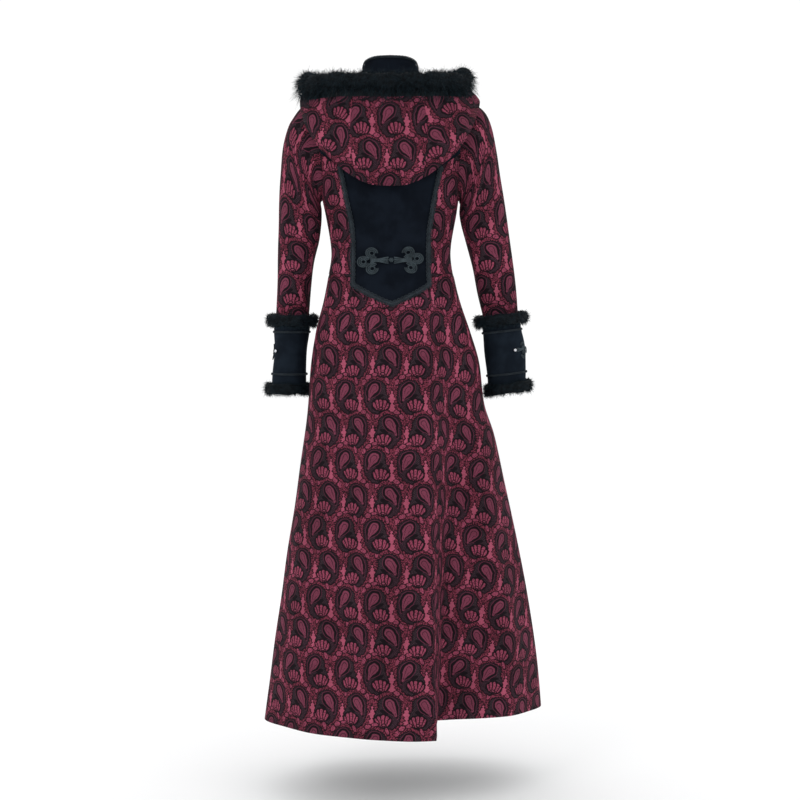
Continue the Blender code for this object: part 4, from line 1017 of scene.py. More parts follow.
limbs = {
    # in millimetres: outer x, outer z, inner x, inner z, half depth, centre y
    "sleeveLeft": [
        (165, -46, 134.5, -235, 55, 0), (176.5, -50, 136.2, -236.5, 55.5, 0), (189, -66, 137, -239, 56, -1),
        (203, -90, 136.5, -243, 55, -2), (213, -132, 135, -252, 53, -3), (218, -190, 135, -267, 50, -5),
        (220.5, -245, 136.5, -285, 46.5, -8), (222.5, -300, 141.5, -315, 43, -11),
        (224.5, -350, 152, -355, 39.5, -16), (226.5, -410, 159, -410, 36, -23),
        (229, -476, 164, -476, 33.5, -31),
    ],
    "sleeveRight": [
        (165, -46, 134.5, -235, 55, 0), (178, -50, 136.2, -236.5, 55.5, 0), (192, -65, 137.6, -239, 56, -1),
        (203.5, -94, 139, -242, 55, -2), (212.5, -138, 138.5, -249, 53, -3), (220, -190, 138.5, -262, 50, -5),
        (230, -250, 142.5, -282, 46.5, -8), (238.5, -305, 152.5, -318, 43, -11),
        (246.5, -360, 165, -368, 39.5, -16), (252.5, -410, 175, -418, 37, -23),
        (257.5, -468, 189.5, -476, 33.5, -31),
    ],
    "cuffLeft": [
        (232.5, -462, 160, -462, 37, -29), (233.5, -495, 162.5, -495, 37, -33),
        (232.5, -530, 167.5, -530, 35.5, -37), (237.5, -575, 169, -575, 36, -42),
        (240, -614, 169, -614, 37, -46),
    ],
    "cuffRight": [
        (260, -456, 183, -465, 38, -29), (264, -489, 187, -498, 37.5, -33),
        (272.5, -525, 189.5, -534, 37.5, -37), (274.5, -570, 196, -579, 37, -42),
        (274.5, -606, 199, -618, 37, -46),
    ],
    "around": 72,
    "firstPlaces": [0, 0.06, 0.14, 0.24],
    "sleeveFrom": 0.36,
    "sleeveSteps": 84,
    "cuffSteps": 46,
    "armholeBlend": (1.0, 0.55, 0.2, 0.0),
    "tuck": 0.0070,
    "tuckDepth": 0.0030,
    # in millimetres: from x, z to x, z, half width, depth
    "creases": {
        "back": [
            (150, -235, 205, -185, 10, -3.0), (155, -262, 212, -232, 9, -2.6),
            (158, -210, 200, -140, 11, 2.6), (150, -300, 214, -285, 9, -2.8), (152, -322, 216, -318, 8, 2.2),
            (160, -345, 216, -335, 9, -2.6), (164, -395, 222, -372, 9, -2.0), (170, -430, 222, -420, 8, 1.8),
            (-152, -235, -208, -188, 10, -3.0), (-156, -262, -220, -235, 9, -2.6),
            (-160, -210, -204, -145, 11, 2.6), (-158, -305, -230, -288, 9, -3.0),
            (-165, -332, -238, -318, 8, 2.4), (-175, -362, -242, -345, 9, -2.6),
            (-186, -410, -246, -385, 10, -2.2), (-196, -440, -250, -428, 8, 1.8),
        ],
        "front": [
            (150, -240, 205, -190, 10, -2.8), (152, -300, 216, -300, 10, -3.6),
            (158, -328, 216, -332, 9, 2.4), (164, -365, 220, -352, 10, -3.0),
            (-152, -240, -210, -192, 10, -2.8), (-162, -305, -234, -305, 10, -3.6),
            (-170, -335, -238, -330, 9, 2.4), (-178, -372, -244, -358, 10, -3.0),
        ],
    },
}


def limbPoint(rows, turn, place, side, atArmhole=False):
    turn, place = np.broadcast_arrays(np.asarray(turn, float), np.asarray(place, float))
    outerX, outerZ, innerX, innerZ, halfDepth, centreY = (
        curveThrough(range(len(rows)), column, place) for column in zip(*rows)
    )
    rise = np.sin(turn)
    x = (outerX + innerX) / 2 + (outerX - innerX) / 2 * rise
    z = (outerZ + innerZ) / 2 + (outerZ - innerZ) / 2 * rise
    points = stack(x * side, centreY + halfDepth * np.cos(turn), z)
    if atArmhole:
        last = len(limbs["armholeBlend"]) - 1
        keep = curveThrough(range(last + 1), limbs["armholeBlend"], np.minimum(place, last))
        keep = clamp(np.where(place < last, keep, 0.0))
        first = rows[0]
        driftX = ((outerX - first[0]) * (1 + rise) + (innerX - first[2]) * (1 - rise)) / 2 * side
        driftZ = ((outerZ - first[1]) * (1 + rise) + (innerZ - first[3]) * (1 - rise)) / 2
        points = mix(points, armholePoint(turn, side) + stack(driftX, centreY, driftZ), keep[..., None])
    return points


def limbNormal(rows, turn, place, side, atArmhole=False, step=0.01):
    def at(a, b):
        return limbPoint(rows, a, b, side, atArmhole)

    around = at(turn + step, place) - at(turn - step, place)
    normal = unit(np.cross(around, at(turn, place + step) - at(turn, place - step)))
    outward = at(turn, place) - at(turn + math.pi, place)
    return np.where((normal * outward).sum(-1, keepdims=True) < 0, -normal, normal)


def tubeUv(points, side):
    across = arcLengths(np.concatenate([points, points[:, :1]], axis=1)) * side
    down = -lengthsAlong(points.mean(axis=1))
    return np.stack([across - across[:, -1:] / 2, np.broadcast_to(down[:, None], across.shape)], axis=-1)


def tuckedUnder(points, normal, uv, side):
    first = points[:1] - normal[:1] * limbs["tuckDepth"] - np.array([limbs["tuck"] * side, 0.0, 0.0])
    firstUv = uv[:1] + np.array([0.0, limbs["tuck"]])
    return [np.concatenate(pair) for pair in ((first, points), (normal[:1], normal), (firstUv, uv))]


limbRows = {}
for name, side in sides.items():
    title = name.title()
    rows = limbRows["sleeve" + title] = inMetres(limbs["sleeve" + title])
    rest = np.linspace(limbs["sleeveFrom"], len(rows) - 1, limbs["sleeveSteps"])
    places = np.concatenate([limbs["firstPlaces"], rest])
    turns = np.linspace(-math.pi / 2, 1.5 * math.pi, limbs["around"] + 1)[:-1]
    turn, place = np.meshgrid(turns, places)
    points = limbPoint(rows, turn, place, side, True)
    normal = limbNormal(rows, turn, place, side, True)
    points, normal, uv = tuckedUnder(points, normal, tubeUv(points, side), side)
    piece = shell("sleeve" + title, points, normal, uv, [laceCloth, lining], wrap=True,
                  creases=limbs["creases"], drape=(0.07, 0.0016, 31 + side))
    cloth(piece, "sleeve_" + name)
    rows = limbRows["cuff" + title] = inMetres(limbs["cuff" + title])
    turn, place = np.meshgrid(turns, np.linspace(0, len(rows) - 1, limbs["cuffSteps"]))
    points = limbPoint(rows, turn, place, side)
    piece = shell("cuff" + title, points, limbNormal(rows, turn, place, side), tubeUv(points, side),
                  [litCuffVelvet, lining], wrap=True, drape=(0.045, 0.0010, 41 + side))
    cloth(piece, "cuff_" + name)
print("sleeves and cuffs are made")


# Hood, lying down on the back, and the stand collar

hood = {
    "columns": (
        "angle", "bodyAngle", "level", "stand", "foldX", "foldY", "foldZ", "furX", "furY", "furZ", "bulge",
        "radius",
    ),
    # the two angles in degrees, the rest in millimetres
    "rows": [
        (90, 90, -110, 10, 0, 119, -212, 0, 150, -16, 20, 22.5),
        (74, 75, -105, 10, 34, 118.5, -209.5, 36, 147.5, -15, 20, 22.5),
        (58, 62, -98, 10, 68, 115, -196, 72, 138.5, -13.5, 19, 23),
        (42, 50, -85, 9, 102, 108, -170, 106, 124, -11, 17, 24),
        (28, 40, -72, 7, 132, 96, -142, 136, 102, -10, 14, 24.5),
        (16, 28, -58, 5, 153, 84, -112, 155, 74, -8, 10, 24),
        (6, 14, -45, 4, 169, 62, -76, 161, 40, 0, 6, 23.5),
        (-6, 0, -38, 4, 176, 22, -40, 156, 2, 5, 3, 22.5),
        (-20, -16, -34, 4, 165, -30, -40, 138, -36, -2, 2, 21.5),
        (-36, -34, -34, 4, 130, -76, -60, 108, -71, -16, 2, 20),
        (-54, -52, -36, 5, 86, -105, -84, 72, -98, -35, 2, 19),
        (-72, -72, -40, 6, 38, -119, -106, 30, -106, -57, 2, 18),
    ],
    # first row, last row, columns, turn of the cut in degrees
    "parts": {"centre": (-1.9, 1.9, 44, 0), "left": (1.9, 11, 84, 24), "right": (-11, -1.9, 84, -24)},
    # grid rows from the neck to the rim: start, end and number of each stretch
    "runs": ((0, 1, 18), (1, 2.2, 26), (2.2, 4, 40)),
    "facingRows": 14,
    "droop": 0.007,
    "furRightShare": 0.895,
    "furLeftReach": 0.161,
    "neckStand": 0.0040,
    "clear": 0.0012,
    "furClear": 0.0030,
    "lumpLimit": 1.06,
    "searchStep": 0.01,
    "searchRows": 24,
    "steepest": 0.5,
    # in millimetres: from x, z to x, z, half width, depth
    "creases": {"back": [
        (150, -60, 85, -130, 10, -3.2), (165, -85, 100, -155, 9, 2.6), (120, -50, 60, -120, 11, -2.4),
        (60, -60, 30, -150, 12, 2.6), (-150, -60, -90, -130, 10, -3.4), (-150, -95, -85, -160, 9, 2.6),
        (-110, -55, -60, -125, 11, -2.6), (-62, -60, -36, -160, 12, 2.6), (20, -55, 6, -180, 13, -2.0),
        (50, -160, -40, -190, 10, -2.0),
    ]},
}
lastRow = len(hood["rows"]) - 1


def hoodValue(name, place):
    column = hood["columns"].index(name)
    size = 1 if name in ("angle", "bodyAngle") else 1000
    return curveThrough(range(lastRow + 1), [row[column] / size for row in hood["rows"]], place)


def keepClear(points, clear):
    x, y = points[..., 0], points[..., 1]

    def sharesAt(level):
        at = section(level)
        depth = np.where(y >= 0, at["back"], at["front"])
        return (x - at["centre"]) / at["halfWidth"], y / depth, at["squareness"]

    def inside(level):
        across, along, power = sharesAt(level)
        return np.abs(across) ** power + np.abs(along) ** power - 1.0 < 0.0

    low = np.full(x.shape, np.nan)
    for k in range(1, hood["searchRows"]):
        level = np.full(x.shape, -hood["searchStep"] * k)
        low = np.where(np.isnan(low) & inside(level), level, low)
    found = ~np.isnan(low)
    low = np.where(found, low, -0.1)
    high = low + hood["searchStep"]
    for _ in range(12):
        middle = (high + low) / 2
        under = inside(middle)
        low = np.where(under, middle, low)
        high = np.where(under, high, middle)
    across, along, power = sharesAt(low)
    angle = np.arctan2(signedPower(along, power / 2), signedPower(across, power / 2))
    normal = coatNormal(angle, low)
    z = coatPoint(angle, low)[..., 2] + clear / np.maximum(normal[..., 2], hood["steepest"])
    lift = found & (normal[..., 2] >= hood["steepest"])
    return stack(x, y, np.where(lift, np.maximum(points[..., 2], z), points[..., 2]))


def lump(turn, seed):
    return 1.0 + 0.10 * np.sin(5 * turn + seed) + 0.07 * np.sin(9 * turn + 2.3 * seed)


def furCentre(place):
    row = np.abs(place)
    x = hoodValue("furX", row)
    z = hoodValue("furZ", row) - np.where(place < 0, 0.0, hood["droop"] * (x / hood["furLeftReach"]) ** 4)
    x = np.where(place < 0, -hood["furRightShare"] * x, x)
    under = hoodValue("stand", row) + body["wall"] + hood["furClear"]
    clear = hoodValue("radius", row) * hood["lumpLimit"] + under
    return keepClear(stack(x, hoodValue("furY", row), z), clear)


def bodySide(place, run):
    row = np.abs(place)
    angle = np.radians(mix(hoodValue("angle", row), hoodValue("bodyAngle", row), run))
    angle = np.where(place >= 0, angle, math.pi - angle)
    stand = mix(hood["neckStand"], hoodValue("stand", row), run)
    level = hoodValue("level", row) * run
    return coatPoint(angle, level) + coatNormal(angle, level) * stand[..., None]


def hoodGrid(places, runs):
    row = np.abs(places)
    foldX = hoodValue("foldX", row) * np.where(places >= 0, 1, -1)
    foldPoint = stack(foldX, hoodValue("foldY", row), hoodValue("foldZ", row))
    centre = furCentre(places)
    bulge = unit(foldPoint * np.array([1, 1, 0])) * hoodValue("bulge", row)[..., None]
    toward = unit((foldPoint + centre) / 2 + bulge - centre)
    reach = hoodValue("radius", row) * hood["lumpLimit"] + body["wall"] + hood["furClear"]
    rim = centre + toward * reach[..., None]
    nearBody = [bodySide(places, np.full_like(places, run)) for run in (0.5, 1.0)]
    guides = np.stack(nearBody + [foldPoint, (foldPoint + rim) / 2 + bulge, rim])
    grid = np.zeros((len(runs), len(places), 3))
    steps = np.sqrt(np.linalg.norm(np.diff(guides, axis=0), axis=-1))
    lengths = np.concatenate([np.zeros((1, len(places))), np.cumsum(steps, axis=0)])
    for column in range(len(places)):
        at = curveThrough(range(len(guides)), lengths[:, column], runs)
        for axis in range(3):
            grid[:, column, axis] = curveThrough(lengths[:, column], guides[:, column, axis], at)
    grid = keepClear(grid, hood["clear"])
    near = runs <= 1.0
    grid[near] = bodySide(*np.meshgrid(places, runs))[near]
    return grid, unit(np.cross(np.gradient(grid, axis=0), np.gradient(grid, axis=1)))


hoodRuns = np.unique(np.concatenate([np.linspace(*run) for run in hood["runs"]]))
for name, (first, last, count, turn) in hood["parts"].items():
    points, normal = hoodGrid(mix(first, last, fineShares(count)), hoodRuns)
    lean = math.radians(turn)
    flat = flattened(points, np.stack([-points[..., 0], points[..., 2]], axis=-1))
    uv = flat @ np.array([[math.cos(lean), math.sin(lean)], [-math.sin(lean), math.cos(lean)]])
    piece = shell("hood" + name.title(), points, normal, uv, [laceCloth, lining], creases=hood["creases"],
                  drape=(0.08, 0.0012, 51), edges=("sides",), facing=hood["facingRows"])
    cloth(piece, "hood_" + name)
print("hood is made")

collar = {
    # angle, height, lean
    "rows": [
        (90, 0.0470, -0.0050), (60, 0.0450, -0.0070), (30, 0.0370, -0.0100), (0, 0.0250, -0.0110),
        (-45, 0.0260, -0.0060), (-80, 0.0320, -0.0020), (-90, 0.0330, -0.0020),
    ],
    "frontGap": 3.0,
    "baseGap": 0.0008,
    "wall": 0.0025,
    "braidShare": 0.94,
    "columns": 145,
    "steps": 12,
}


def collarPoint(angle, share):
    degrees = np.degrees(angle)
    degrees = np.where(degrees > 90.0, 180.0 - degrees, degrees)
    out = stack(np.cos(angle), np.sin(angle), np.zeros_like(angle))
    lean = tableCurve(collar["rows"], 2, degrees) * share
    rise = collar["baseGap"] + tableCurve(collar["rows"], 1, degrees) * share
    return coatPoint(angle, np.zeros_like(angle)) + out * lean[..., None] + stack(0.0, 0.0, rise), out


collarStart = math.radians(-90 + collar["frontGap"])
turns = np.linspace(collarStart, math.pi - collarStart, collar["columns"])
angle, share = np.meshgrid(turns, fineShares(collar["steps"]))
points, normal = collarPoint(angle, share)
piece = shell("standCollar", points, normal, cutUv(points, angle), [velvet, velvet], wall=collar["wall"],
              drape=(0.05, 0.0006, 61), edges=("sides", "bottom"))
cloth(piece, "collar")
print("collar is made")


# Cords: tubes along lists of points


def tubeFaces(rows, columns, closed):
    grid = closedGrid(rows, columns, closed)
    ends = [] if closed else [grid[0, -2::-1], grid[-1, :-1]]
    return list(gridQuads(grid)) + ends


def tubeMesh(paths, radii, around=6, closed=False):
    places = []
    faces = []
    turns = np.linspace(0, 2 * math.pi, around + 1)[:-1]
    for path, radius in zip(paths, radii):
        ahead = np.roll(path, -1, axis=0) - np.roll(path, 1, axis=0) if closed else np.gradient(path, axis=0)
        tangent = unit(ahead)
        lead = np.zeros_like(tangent)
        guide = np.array([0.13, 0.21, 0.97])
        if abs(tangent[0] @ guide) > 0.9:
            guide = np.array([1.0, 0.1, 0.0])
        for k, way in enumerate(tangent):
            guide = guide - way * (guide @ way)
            guide = guide / np.linalg.norm(guide)
            lead[k] = guide
        other = np.cross(tangent, lead)
        ring = lead[:, None] * np.cos(turns)[None, :, None] + other[:, None] * np.sin(turns)[None, :, None]
        faces.extend(face + sum(map(len, places)) for face in tubeFaces(len(path), around, closed))
        places.append((path[:, None] + ring * radius).reshape(-1, 3))
    return np.concatenate(places), faces


def trim(name, node, cords, material, around=6, closed=False):
    dress(meshPiece(name, *tubeMesh(*cords, around, closed), [material]), node)


gimp = {
    "panel": {"width": 0.0092, "pitch": 0.0082, "cord": 0.00105, "lift": 0.0012, "samples": 14},
    "collar": {"width": 0.0044, "pitch": 0.0062, "cord": 0.0007, "lift": 0.0008, "samples": 12},
    "panelTop": -0.172,
    # the braid beside the cuffs' fur: places down the cuff, waves all round, wave height, stand, cord
    "cuffPlaces": {"upper": 0.25, "lower": 0.78},
    "cuffWaves": 30,
    "cuffWave": 0.0016,
    "cuffLift": (0.0016, 0.0003),
    "cuffCord": 0.0008,
}


def plait(centre, normal, width, pitch, cord, lift, samples):
    lengths = lengthsAlong(centre)
    at = np.linspace(0, lengths[-1], int(lengths[-1] / pitch * samples))
    path, up = (
        np.stack([np.interp(at, lengths, column) for column in rows.T], 1) for rows in (centre, normal)
    )
    up = unit(up)
    across = unit(np.cross(up, unit(np.gradient(path, axis=0)))) * (width / 2)
    paths = []
    for strand in range(3):
        phase = 2 * math.pi * (at / pitch + strand / 3)
        height = lift + cord * (1.0 + 0.8 * np.cos(2 * phase))
        paths.append(path + across * (np.sin(phase) * 0.52)[:, None] + up * height[:, None])
    for way in (-1, 1):
        reach = way * (0.70 + 0.42 * np.abs(np.sin(math.pi * at / pitch + (way > 0) * 0.8)))
        paths.append(path + across * reach[:, None] + up * (lift + cord * 0.8))
    return paths, [cord, cord, cord, cord * 0.8, cord * 0.8]


for name, side in sides.items():
    levels = np.linspace(gimp["panelTop"], panel["corner"], 90)
    share = np.linspace(0.02, 1.02, 30)
    level = np.concatenate([levels, mix(panel["corner"], panel["tip"], share)])
    edge = panelEdgeAngle(levels)
    angle = mirrorAngle(np.concatenate([edge, mix(edge[-1], math.pi / 2, share)]), side)
    cords = plait(coatPoint(angle, level), coatNormal(angle, level), **gimp["panel"])
    trim("gimpBraid" + name.title(), "panel_braid_" + name, cords, gimpThread)

for name, side in sides.items():
    rows = limbRows["cuff" + name.title()]
    turns = np.linspace(0, 2 * math.pi, 420, endpoint=False)
    for where, share in gimp["cuffPlaces"].items():
        place = share * (len(rows) - 1)
        centre = limbPoint(rows, turns, place, side)
        up = limbNormal(rows, turns, place, side)
        down = unit(limbPoint(rows, turns, place + 0.1, side) - centre)
        paths = []
        for start in (0.0, math.pi):
            phase = turns * gimp["cuffWaves"] + start
            height = gimp["cuffLift"][0] + gimp["cuffLift"][1] * np.cos(phase)
            paths.append(centre + down * (np.sin(phase) * gimp["cuffWave"])[:, None] + up * height[:, None])
        trim("cuffBraid" + where.title() + name.title(), f"cuff_braid_{where}_{name}",
             (paths, [gimp["cuffCord"]] * 2), gimpThread, closed=True)

angle = np.linspace(collarStart, math.pi - collarStart, 900)
cords = plait(*collarPoint(angle, np.full_like(angle, collar["braidShare"])), **gimp["collar"])
trim("collarBraid", "collar_braid", cords, gimpThread, 5)
print("braids are laid")


# Frogs: three looped cords, a bar of four cords, and the knot

frog = {
    "level": -0.354,
    "x": -0.003,
    "left": [(0.0375, 0.0135), (0.0535, -0.0035), (0.0365, -0.0170)],
    "right": [(-0.0325, 0.0150), (-0.0495, 0.0030), (-0.0375, -0.0150)],
    # reach, gap in the turn, points
    "rings": [(0.0108, 0.35, 40), (0.0077, 0.35, 40), (0.0046, 0.0, 32)],
    "cord": 0.00132,
    "lift": 0.0016,
    "barStart": 0.0400,
    "barStep": 0.0031,
    "knot": 0.0048,
    "tilts": (0.0, 1.05, 2.1),  # the knot's three wound cords
    "turns": 3,
    "turnPoints": 90,
    "turnRadius": 0.0034,
    "turnReach": 0.0022,
    "turnCord": 0.00105,
    "cuffPlace": 0.52,
    "cuffScale": 0.62,
    "cuffHead": 0.0080,
    "cuffStart": {"left": 52.0, "right": 24.0},
    "bead": 0.0034,
    "beadX": 0.0005,
    "beadShare": 0.82,
}


def backPlace(flat):
    level = frog["level"] + flat[:, 1]
    angle = angleAtX(frog["x"] + flat[:, 0], level)
    return coatPoint(angle, level), coatNormal(angle, level)


def frogCords(loops, head, place, scale=1.0):
    paths = []
    radii = []

    def lay(x, z, height, thick):
        points, normal = place(np.stack([x, z], 1))
        paths.append(points + normal * ((frog["lift"] + frog["cord"] * height) * scale))
        radii.append(frog["cord"] * thick * scale)

    for order, (x, z) in enumerate(loops):
        start = math.atan2(-z, -x)
        for number, (reach, gap, count) in enumerate(frog["rings"]):
            turns = start + np.linspace(gap, 2 * math.pi - gap, count)
            reach = reach * (1.0 + 0.06 * np.cos(2 * (turns - start)))
            lay(x + np.cos(turns) * reach, z + np.sin(turns) * reach, 0.9 + 0.35 * order * (number == 0), 0.9)
    x = np.linspace(math.copysign(frog["barStart"], loops[0][0]), head, 26)
    for number in range(4):
        z = (number - 1.5) * frog["barStep"]
        lay(x, z * (0.85 + 0.35 * np.cos((x - head) * 150)) - 0.0005, 1.5, 1.0)
    return paths, radii


for name, side in sides.items():
    cords = frogCords(frog[name], side * (frog["knot"] + 0.0004), backPlace)
    trim("backFrog" + name.title(), "back_frog_" + name, cords, slateCord, 8)

points, normal = backPlace(np.array([[0.0, 0.0]]))
centre = points[0] + normal[0] * (frog["knot"] * 0.75 + 0.0009)
turns = np.linspace(0, 2 * math.pi * frog["turns"], frog["turnPoints"])
shift = np.linspace(-1, 1, frog["turnPoints"]) * frog["turnReach"]
a, b = np.cos(turns) * frog["turnRadius"], np.sin(turns) * frog["turnRadius"]
wraps = []
for tilt in frog["tilts"]:
    c, s = math.cos(tilt), math.sin(tilt)
    wound = np.stack([shift, a * c - b * s, a * s + b * c], 1)
    wraps.append(centre + wound @ np.array([[c, 0, -s], [0, 1, 0], [s, 0, c]]))
trim("backFrogKnot", "back_frog_knot", (wraps, [frog["turnCord"]] * 3), slateCord, 7)


def cuffPlace(name, side):
    rows = limbRows["cuff" + name.title()]
    at = frog["cuffPlace"] * (len(rows) - 1)
    radius = (rows[2][0] - rows[2][2]) / 2
    span = float(np.linalg.norm(limbPoint(rows, 0.0, at + 0.5, side) - limbPoint(rows, 0.0, at - 0.5, side)))

    def place(flat):
        turn = math.radians(frog["cuffStart"][name]) + flat[:, 0] * frog["cuffScale"] / radius
        spot = at - flat[:, 1] * frog["cuffScale"] / span
        return limbPoint(rows, turn, spot, side), limbNormal(rows, turn, spot, side)

    return place


def setOn(made, normal, spot):
    made.data.transform(Vector(normal).to_track_quat("Z", "Y").to_matrix().to_4x4())
    for vertex in made.data.vertices:
        vertex.co += Vector(spot)


for name, side in sides.items():
    place = cuffPlace(name, side)
    cords = frogCords(frog["left"], frog["cuffHead"], place, frog["cuffScale"])
    trim("cuffFrog" + name.title(), "cuff_frog_" + name, cords, slateCord, 7)
    points, normal = place(np.array([[frog["beadX"], 0.0]]))
    bpy.ops.object.select_all(action="DESELECT")
    bpy.ops.mesh.primitive_uv_sphere_add(segments=20, ring_count=12, radius=frog["bead"], location=(0, 0, 0))
    bead = bpy.context.object
    bead.name = "cuffBead" + name.title()
    bpy.ops.object.mode_set(mode="EDIT")
    bpy.ops.mesh.select_all(action="SELECT")
    bpy.ops.transform.resize(value=(1, 1, frog["beadShare"]))
    bpy.ops.object.mode_set(mode="OBJECT")
    setOn(bead, normal[0], points[0] + normal[0] * (frog["bead"] + 0.0003))
    bead.data.shade_smooth()
    bead.data.materials.append(agedSteel)
    dress(bead, "cuff_bead_" + name)
print("frogs and beads are sewn on")


# Covered buttons down the front

buttons = {
    "radius": 0.010,
    "height": 0.004,
    "levels": (-0.072, -0.130, -0.188, -0.246, -0.304, -0.362),
    "stand": 0.0010,
    "footShare": 0.82,
    # share of the width and share of the height, from the foot up
    "steps": ((1.16, 0.18), (1.05, 0.20), (0.96, 0.22), (0.86, 0.18), (0.70, 0.13), (0.45, 0.06)),
}


def makeButton():
    foot = buttons["radius"] * buttons["footShare"]
    bpy.ops.object.select_all(action="DESELECT")
    bpy.ops.mesh.primitive_circle_add(vertices=32, radius=foot, fill_type="NGON", location=(0, 0, 0))
    made = bpy.context.object
    bpy.ops.object.mode_set(mode="EDIT")
    bpy.ops.mesh.select_mode(type="FACE")
    bpy.ops.mesh.select_all(action="SELECT")
    for share, rise in buttons["steps"]:
        bpy.ops.mesh.extrude_region_move(TRANSFORM_OT_translate={"value": (0, 0, buttons["height"] * rise)})
        bpy.ops.transform.resize(value=(share, share, 1), center_override=(0, 0, 0))
    bpy.ops.mesh.inset(thickness=buttons["radius"] * 0.04, depth=0.0)
    bpy.ops.mesh.select_all(action="SELECT")
    bpy.ops.mesh.normals_make_consistent(inside=False)
    bpy.ops.object.mode_set(mode="OBJECT")
    bpy.ops.object.shade_smooth_by_angle(angle=math.radians(50))
    made.data.materials.append(buttonCloth)
    return made


model = makeButton()
for number, level in enumerate(buttons["levels"], 1):
    angle = frontEdgeAngle(np.array(level), 0.0)
    normal = coatNormal(angle, np.array(level))
    button = model.copy()
    button.data = model.data.copy()
    button.name = f"coveredButton{number}"
    bpy.context.scene.collection.objects.link(button)
    setOn(button, normal, coatPoint(angle, level) + normal * buttons["stand"])
    dress(button, f"front_button_{number}")
bpy.data.objects.remove(model)
print("buttons are sewn on")


# Faux fur: a dark roll under many tapering strands

pelt = {
    "width": 0.00062,
    "rootShare": 0.60,
    "rollShare": 0.70,
    "rollSides": 16,
    "hood": {"count": 21000, "length": 0.0175, "hang": 0.9},
    "cuff": {"count": 5200, "length": 0.0085, "stretch": (1.0, 0.8)},
    # place down the cuff, reach outside, reach inside, half height, seed
    "bands": {"upper": (0.07, 0.016, 0.016, 0.019, 1.0), "lower": (0.97, 0.013, 0.007, 0.018, 4.0)},
    "bandStand": 0.0012,
    "bandShare": 0.82,
}


def strands(roots, ways, down, lengths, seed):
    rng = np.random.default_rng(seed)
    count = len(roots)
    curl = unit(rng.normal(size=(count, 3)))
    side = unit(np.cross(ways, curl))
    drift = unit(down * 0.75 + curl * 0.8 + ways * 0.1)
    places = np.zeros((count, 7, 3))
    for k, (share, wide) in enumerate(((0.0, 1.0), (0.38, 0.9), (0.72, 0.6), (1.0, 0.0))):
        middle = roots + ways * (lengths * share)[:, None] + drift * (lengths * share**2 * 0.55)[:, None]
        half = side * (pelt["width"] * wide / 2)
        places[:, 2 * k] = middle - half
        if wide:
            places[:, 2 * k + 1] = middle + half
    base = (np.arange(count) * 7)[:, None]
    faces = [base + np.array(corners) for corners in ((0, 1, 3, 2), (2, 3, 5, 4), (4, 5, 6))]
    return places.reshape(-1, 3), faces, np.tile([0.0, 0.0, 0.38, 0.38, 0.72, 0.72, 1.0], count)


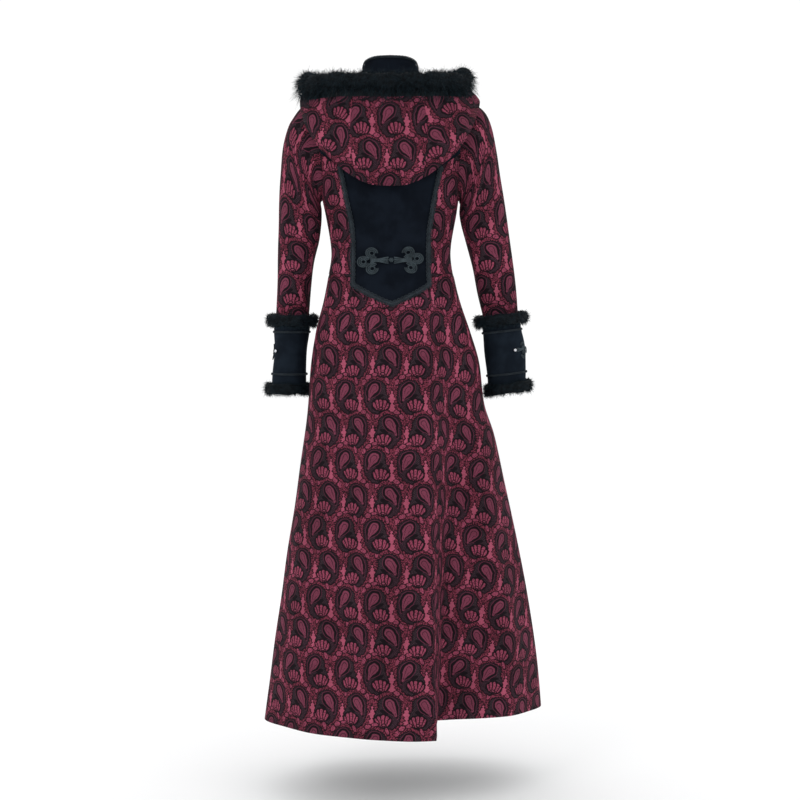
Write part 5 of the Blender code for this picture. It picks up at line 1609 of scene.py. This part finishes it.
def furPiece(name, node, centres, leads, others, radii, down, seed, count, length, closed=False,
             stretch=(1.0, 1.0), hang=0.0):
    rng = np.random.default_rng(seed)
    total = len(centres)
    spots = rng.uniform(0, total - 1e-4 if closed else total - 1.001, count)
    low = spots.astype(int)
    high = (low + 1) % total
    share = (spots - low)[:, None]
    around = rng.uniform(0, 2 * math.pi, count)
    lead, other, centre = (mix(rows[low], rows[high], share) for rows in (leads, others, centres))
    lead, other = unit(lead), unit(other)
    a, b = (mix(row[low], row[high], share[:, 0]) * pelt["rootShare"] for row in radii)
    swirl = np.sin(spots * 2.1 + np.sin(around * 3 + seed) * 2.0)
    clump = 0.80 + 0.32 * swirl * np.sin(around * 2 + spots * 0.7)
    roots = centre + lead * (a * np.cos(around))[:, None] + other * (b * np.sin(around))[:, None]
    ways = lead * (np.cos(around) * stretch[0])[:, None] + other * (np.sin(around) * stretch[1])[:, None]
    ways = unit(ways + rng.normal(size=(count, 3)) * 0.42)
    if not closed:
        past = clamp(spots / total * 16 - 15) - clamp(1 - spots / total * 16)
        ways = unit(ways + unit(centres[high] - centres[low]) * past[:, None] * 0.9)
    reach = length * rng.uniform(0.62, 1.12, count) * clump * (1 + hang * clamp(-ways[:, 2]))
    places, strandFaces, tips = strands(roots, ways, down, reach, seed + 1)
    turns = np.linspace(0, 2 * math.pi, pelt["rollSides"] + 1)[:-1]
    a, b = (row[:, None, None] * pelt["rollShare"] for row in radii)
    ring = leads[:, None] * (a * np.cos(turns)[:, None]) + others[:, None] * (b * np.sin(turns)[:, None])
    ring = (centres[:, None] + ring).reshape(-1, 3)
    faces = tubeFaces(total, pelt["rollSides"], closed)
    for rows in (np.concatenate(strandFaces[:2]), strandFaces[2]):
        faces.extend(rows + len(ring))
    made = meshPiece(name, np.concatenate([ring, places]), faces, [fur])
    layer = made.data.attributes.new("tip", "FLOAT", "POINT")
    layer.data.foreach_set("value", np.concatenate([np.zeros(len(ring)), tips]))
    dress(made, node)


places = np.linspace(-lastRow, lastRow, 150)
centres = furCentre(places)
tangent = unit(np.gradient(centres, axis=0))
lead = unit(np.cross(tangent, np.array([0.0, 0.0, 1.0])))
radius = hoodValue("radius", np.abs(places)) * np.minimum(hood["lumpLimit"], lump(places * 0.9, 1.3))
furPiece("hoodFur", "hood_fur", centres, lead, unit(np.cross(lead, tangent)), (radius, radius),
         np.array([0.0, 0.15, -1.0]), 71, **pelt["hood"])

for name, side in sides.items():
    rows = limbRows["cuff" + name.title()]
    turns = np.linspace(0, 2 * math.pi, 72, endpoint=False)
    for where, (share, outerReach, innerReach, halfHeight, seed) in pelt["bands"].items():
        at = share * (len(rows) - 1)
        alongCuff = unit(limbPoint(rows, 0.0, at + 0.2, side) - limbPoint(rows, 0.0, at - 0.2, side))
        normal = limbNormal(rows, turns, at, side)
        normal = unit(normal - alongCuff * (normal @ alongCuff)[:, None])
        reach = mix(innerReach, outerReach, (1 + np.sin(turns)) / 2) * lump(turns, seed + side)
        centres = limbPoint(rows, turns, at, side) + normal * (reach / 2 + pelt["bandStand"])[:, None]
        heights = halfHeight * lump(turns + 1.7, seed + side)
        furPiece(f"cuffFur{where.title()}{name.title()}", f"cuff_fur_{where}_{name}", centres, normal,
                 np.broadcast_to(alongCuff, centres.shape), (reach / 2, heights * pelt["bandShare"]),
                 np.array([0.0, 0.0, -1.0]), int(80 + seed + side), **pelt["cuff"], closed=True)
print("fur is combed")


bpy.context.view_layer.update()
pieces = [made for made in bpy.context.scene.objects if made.type == "MESH" and not made.hide_render]
print("triangles", sum(len(face.vertices) - 2 for made in pieces for face in made.data.polygons))
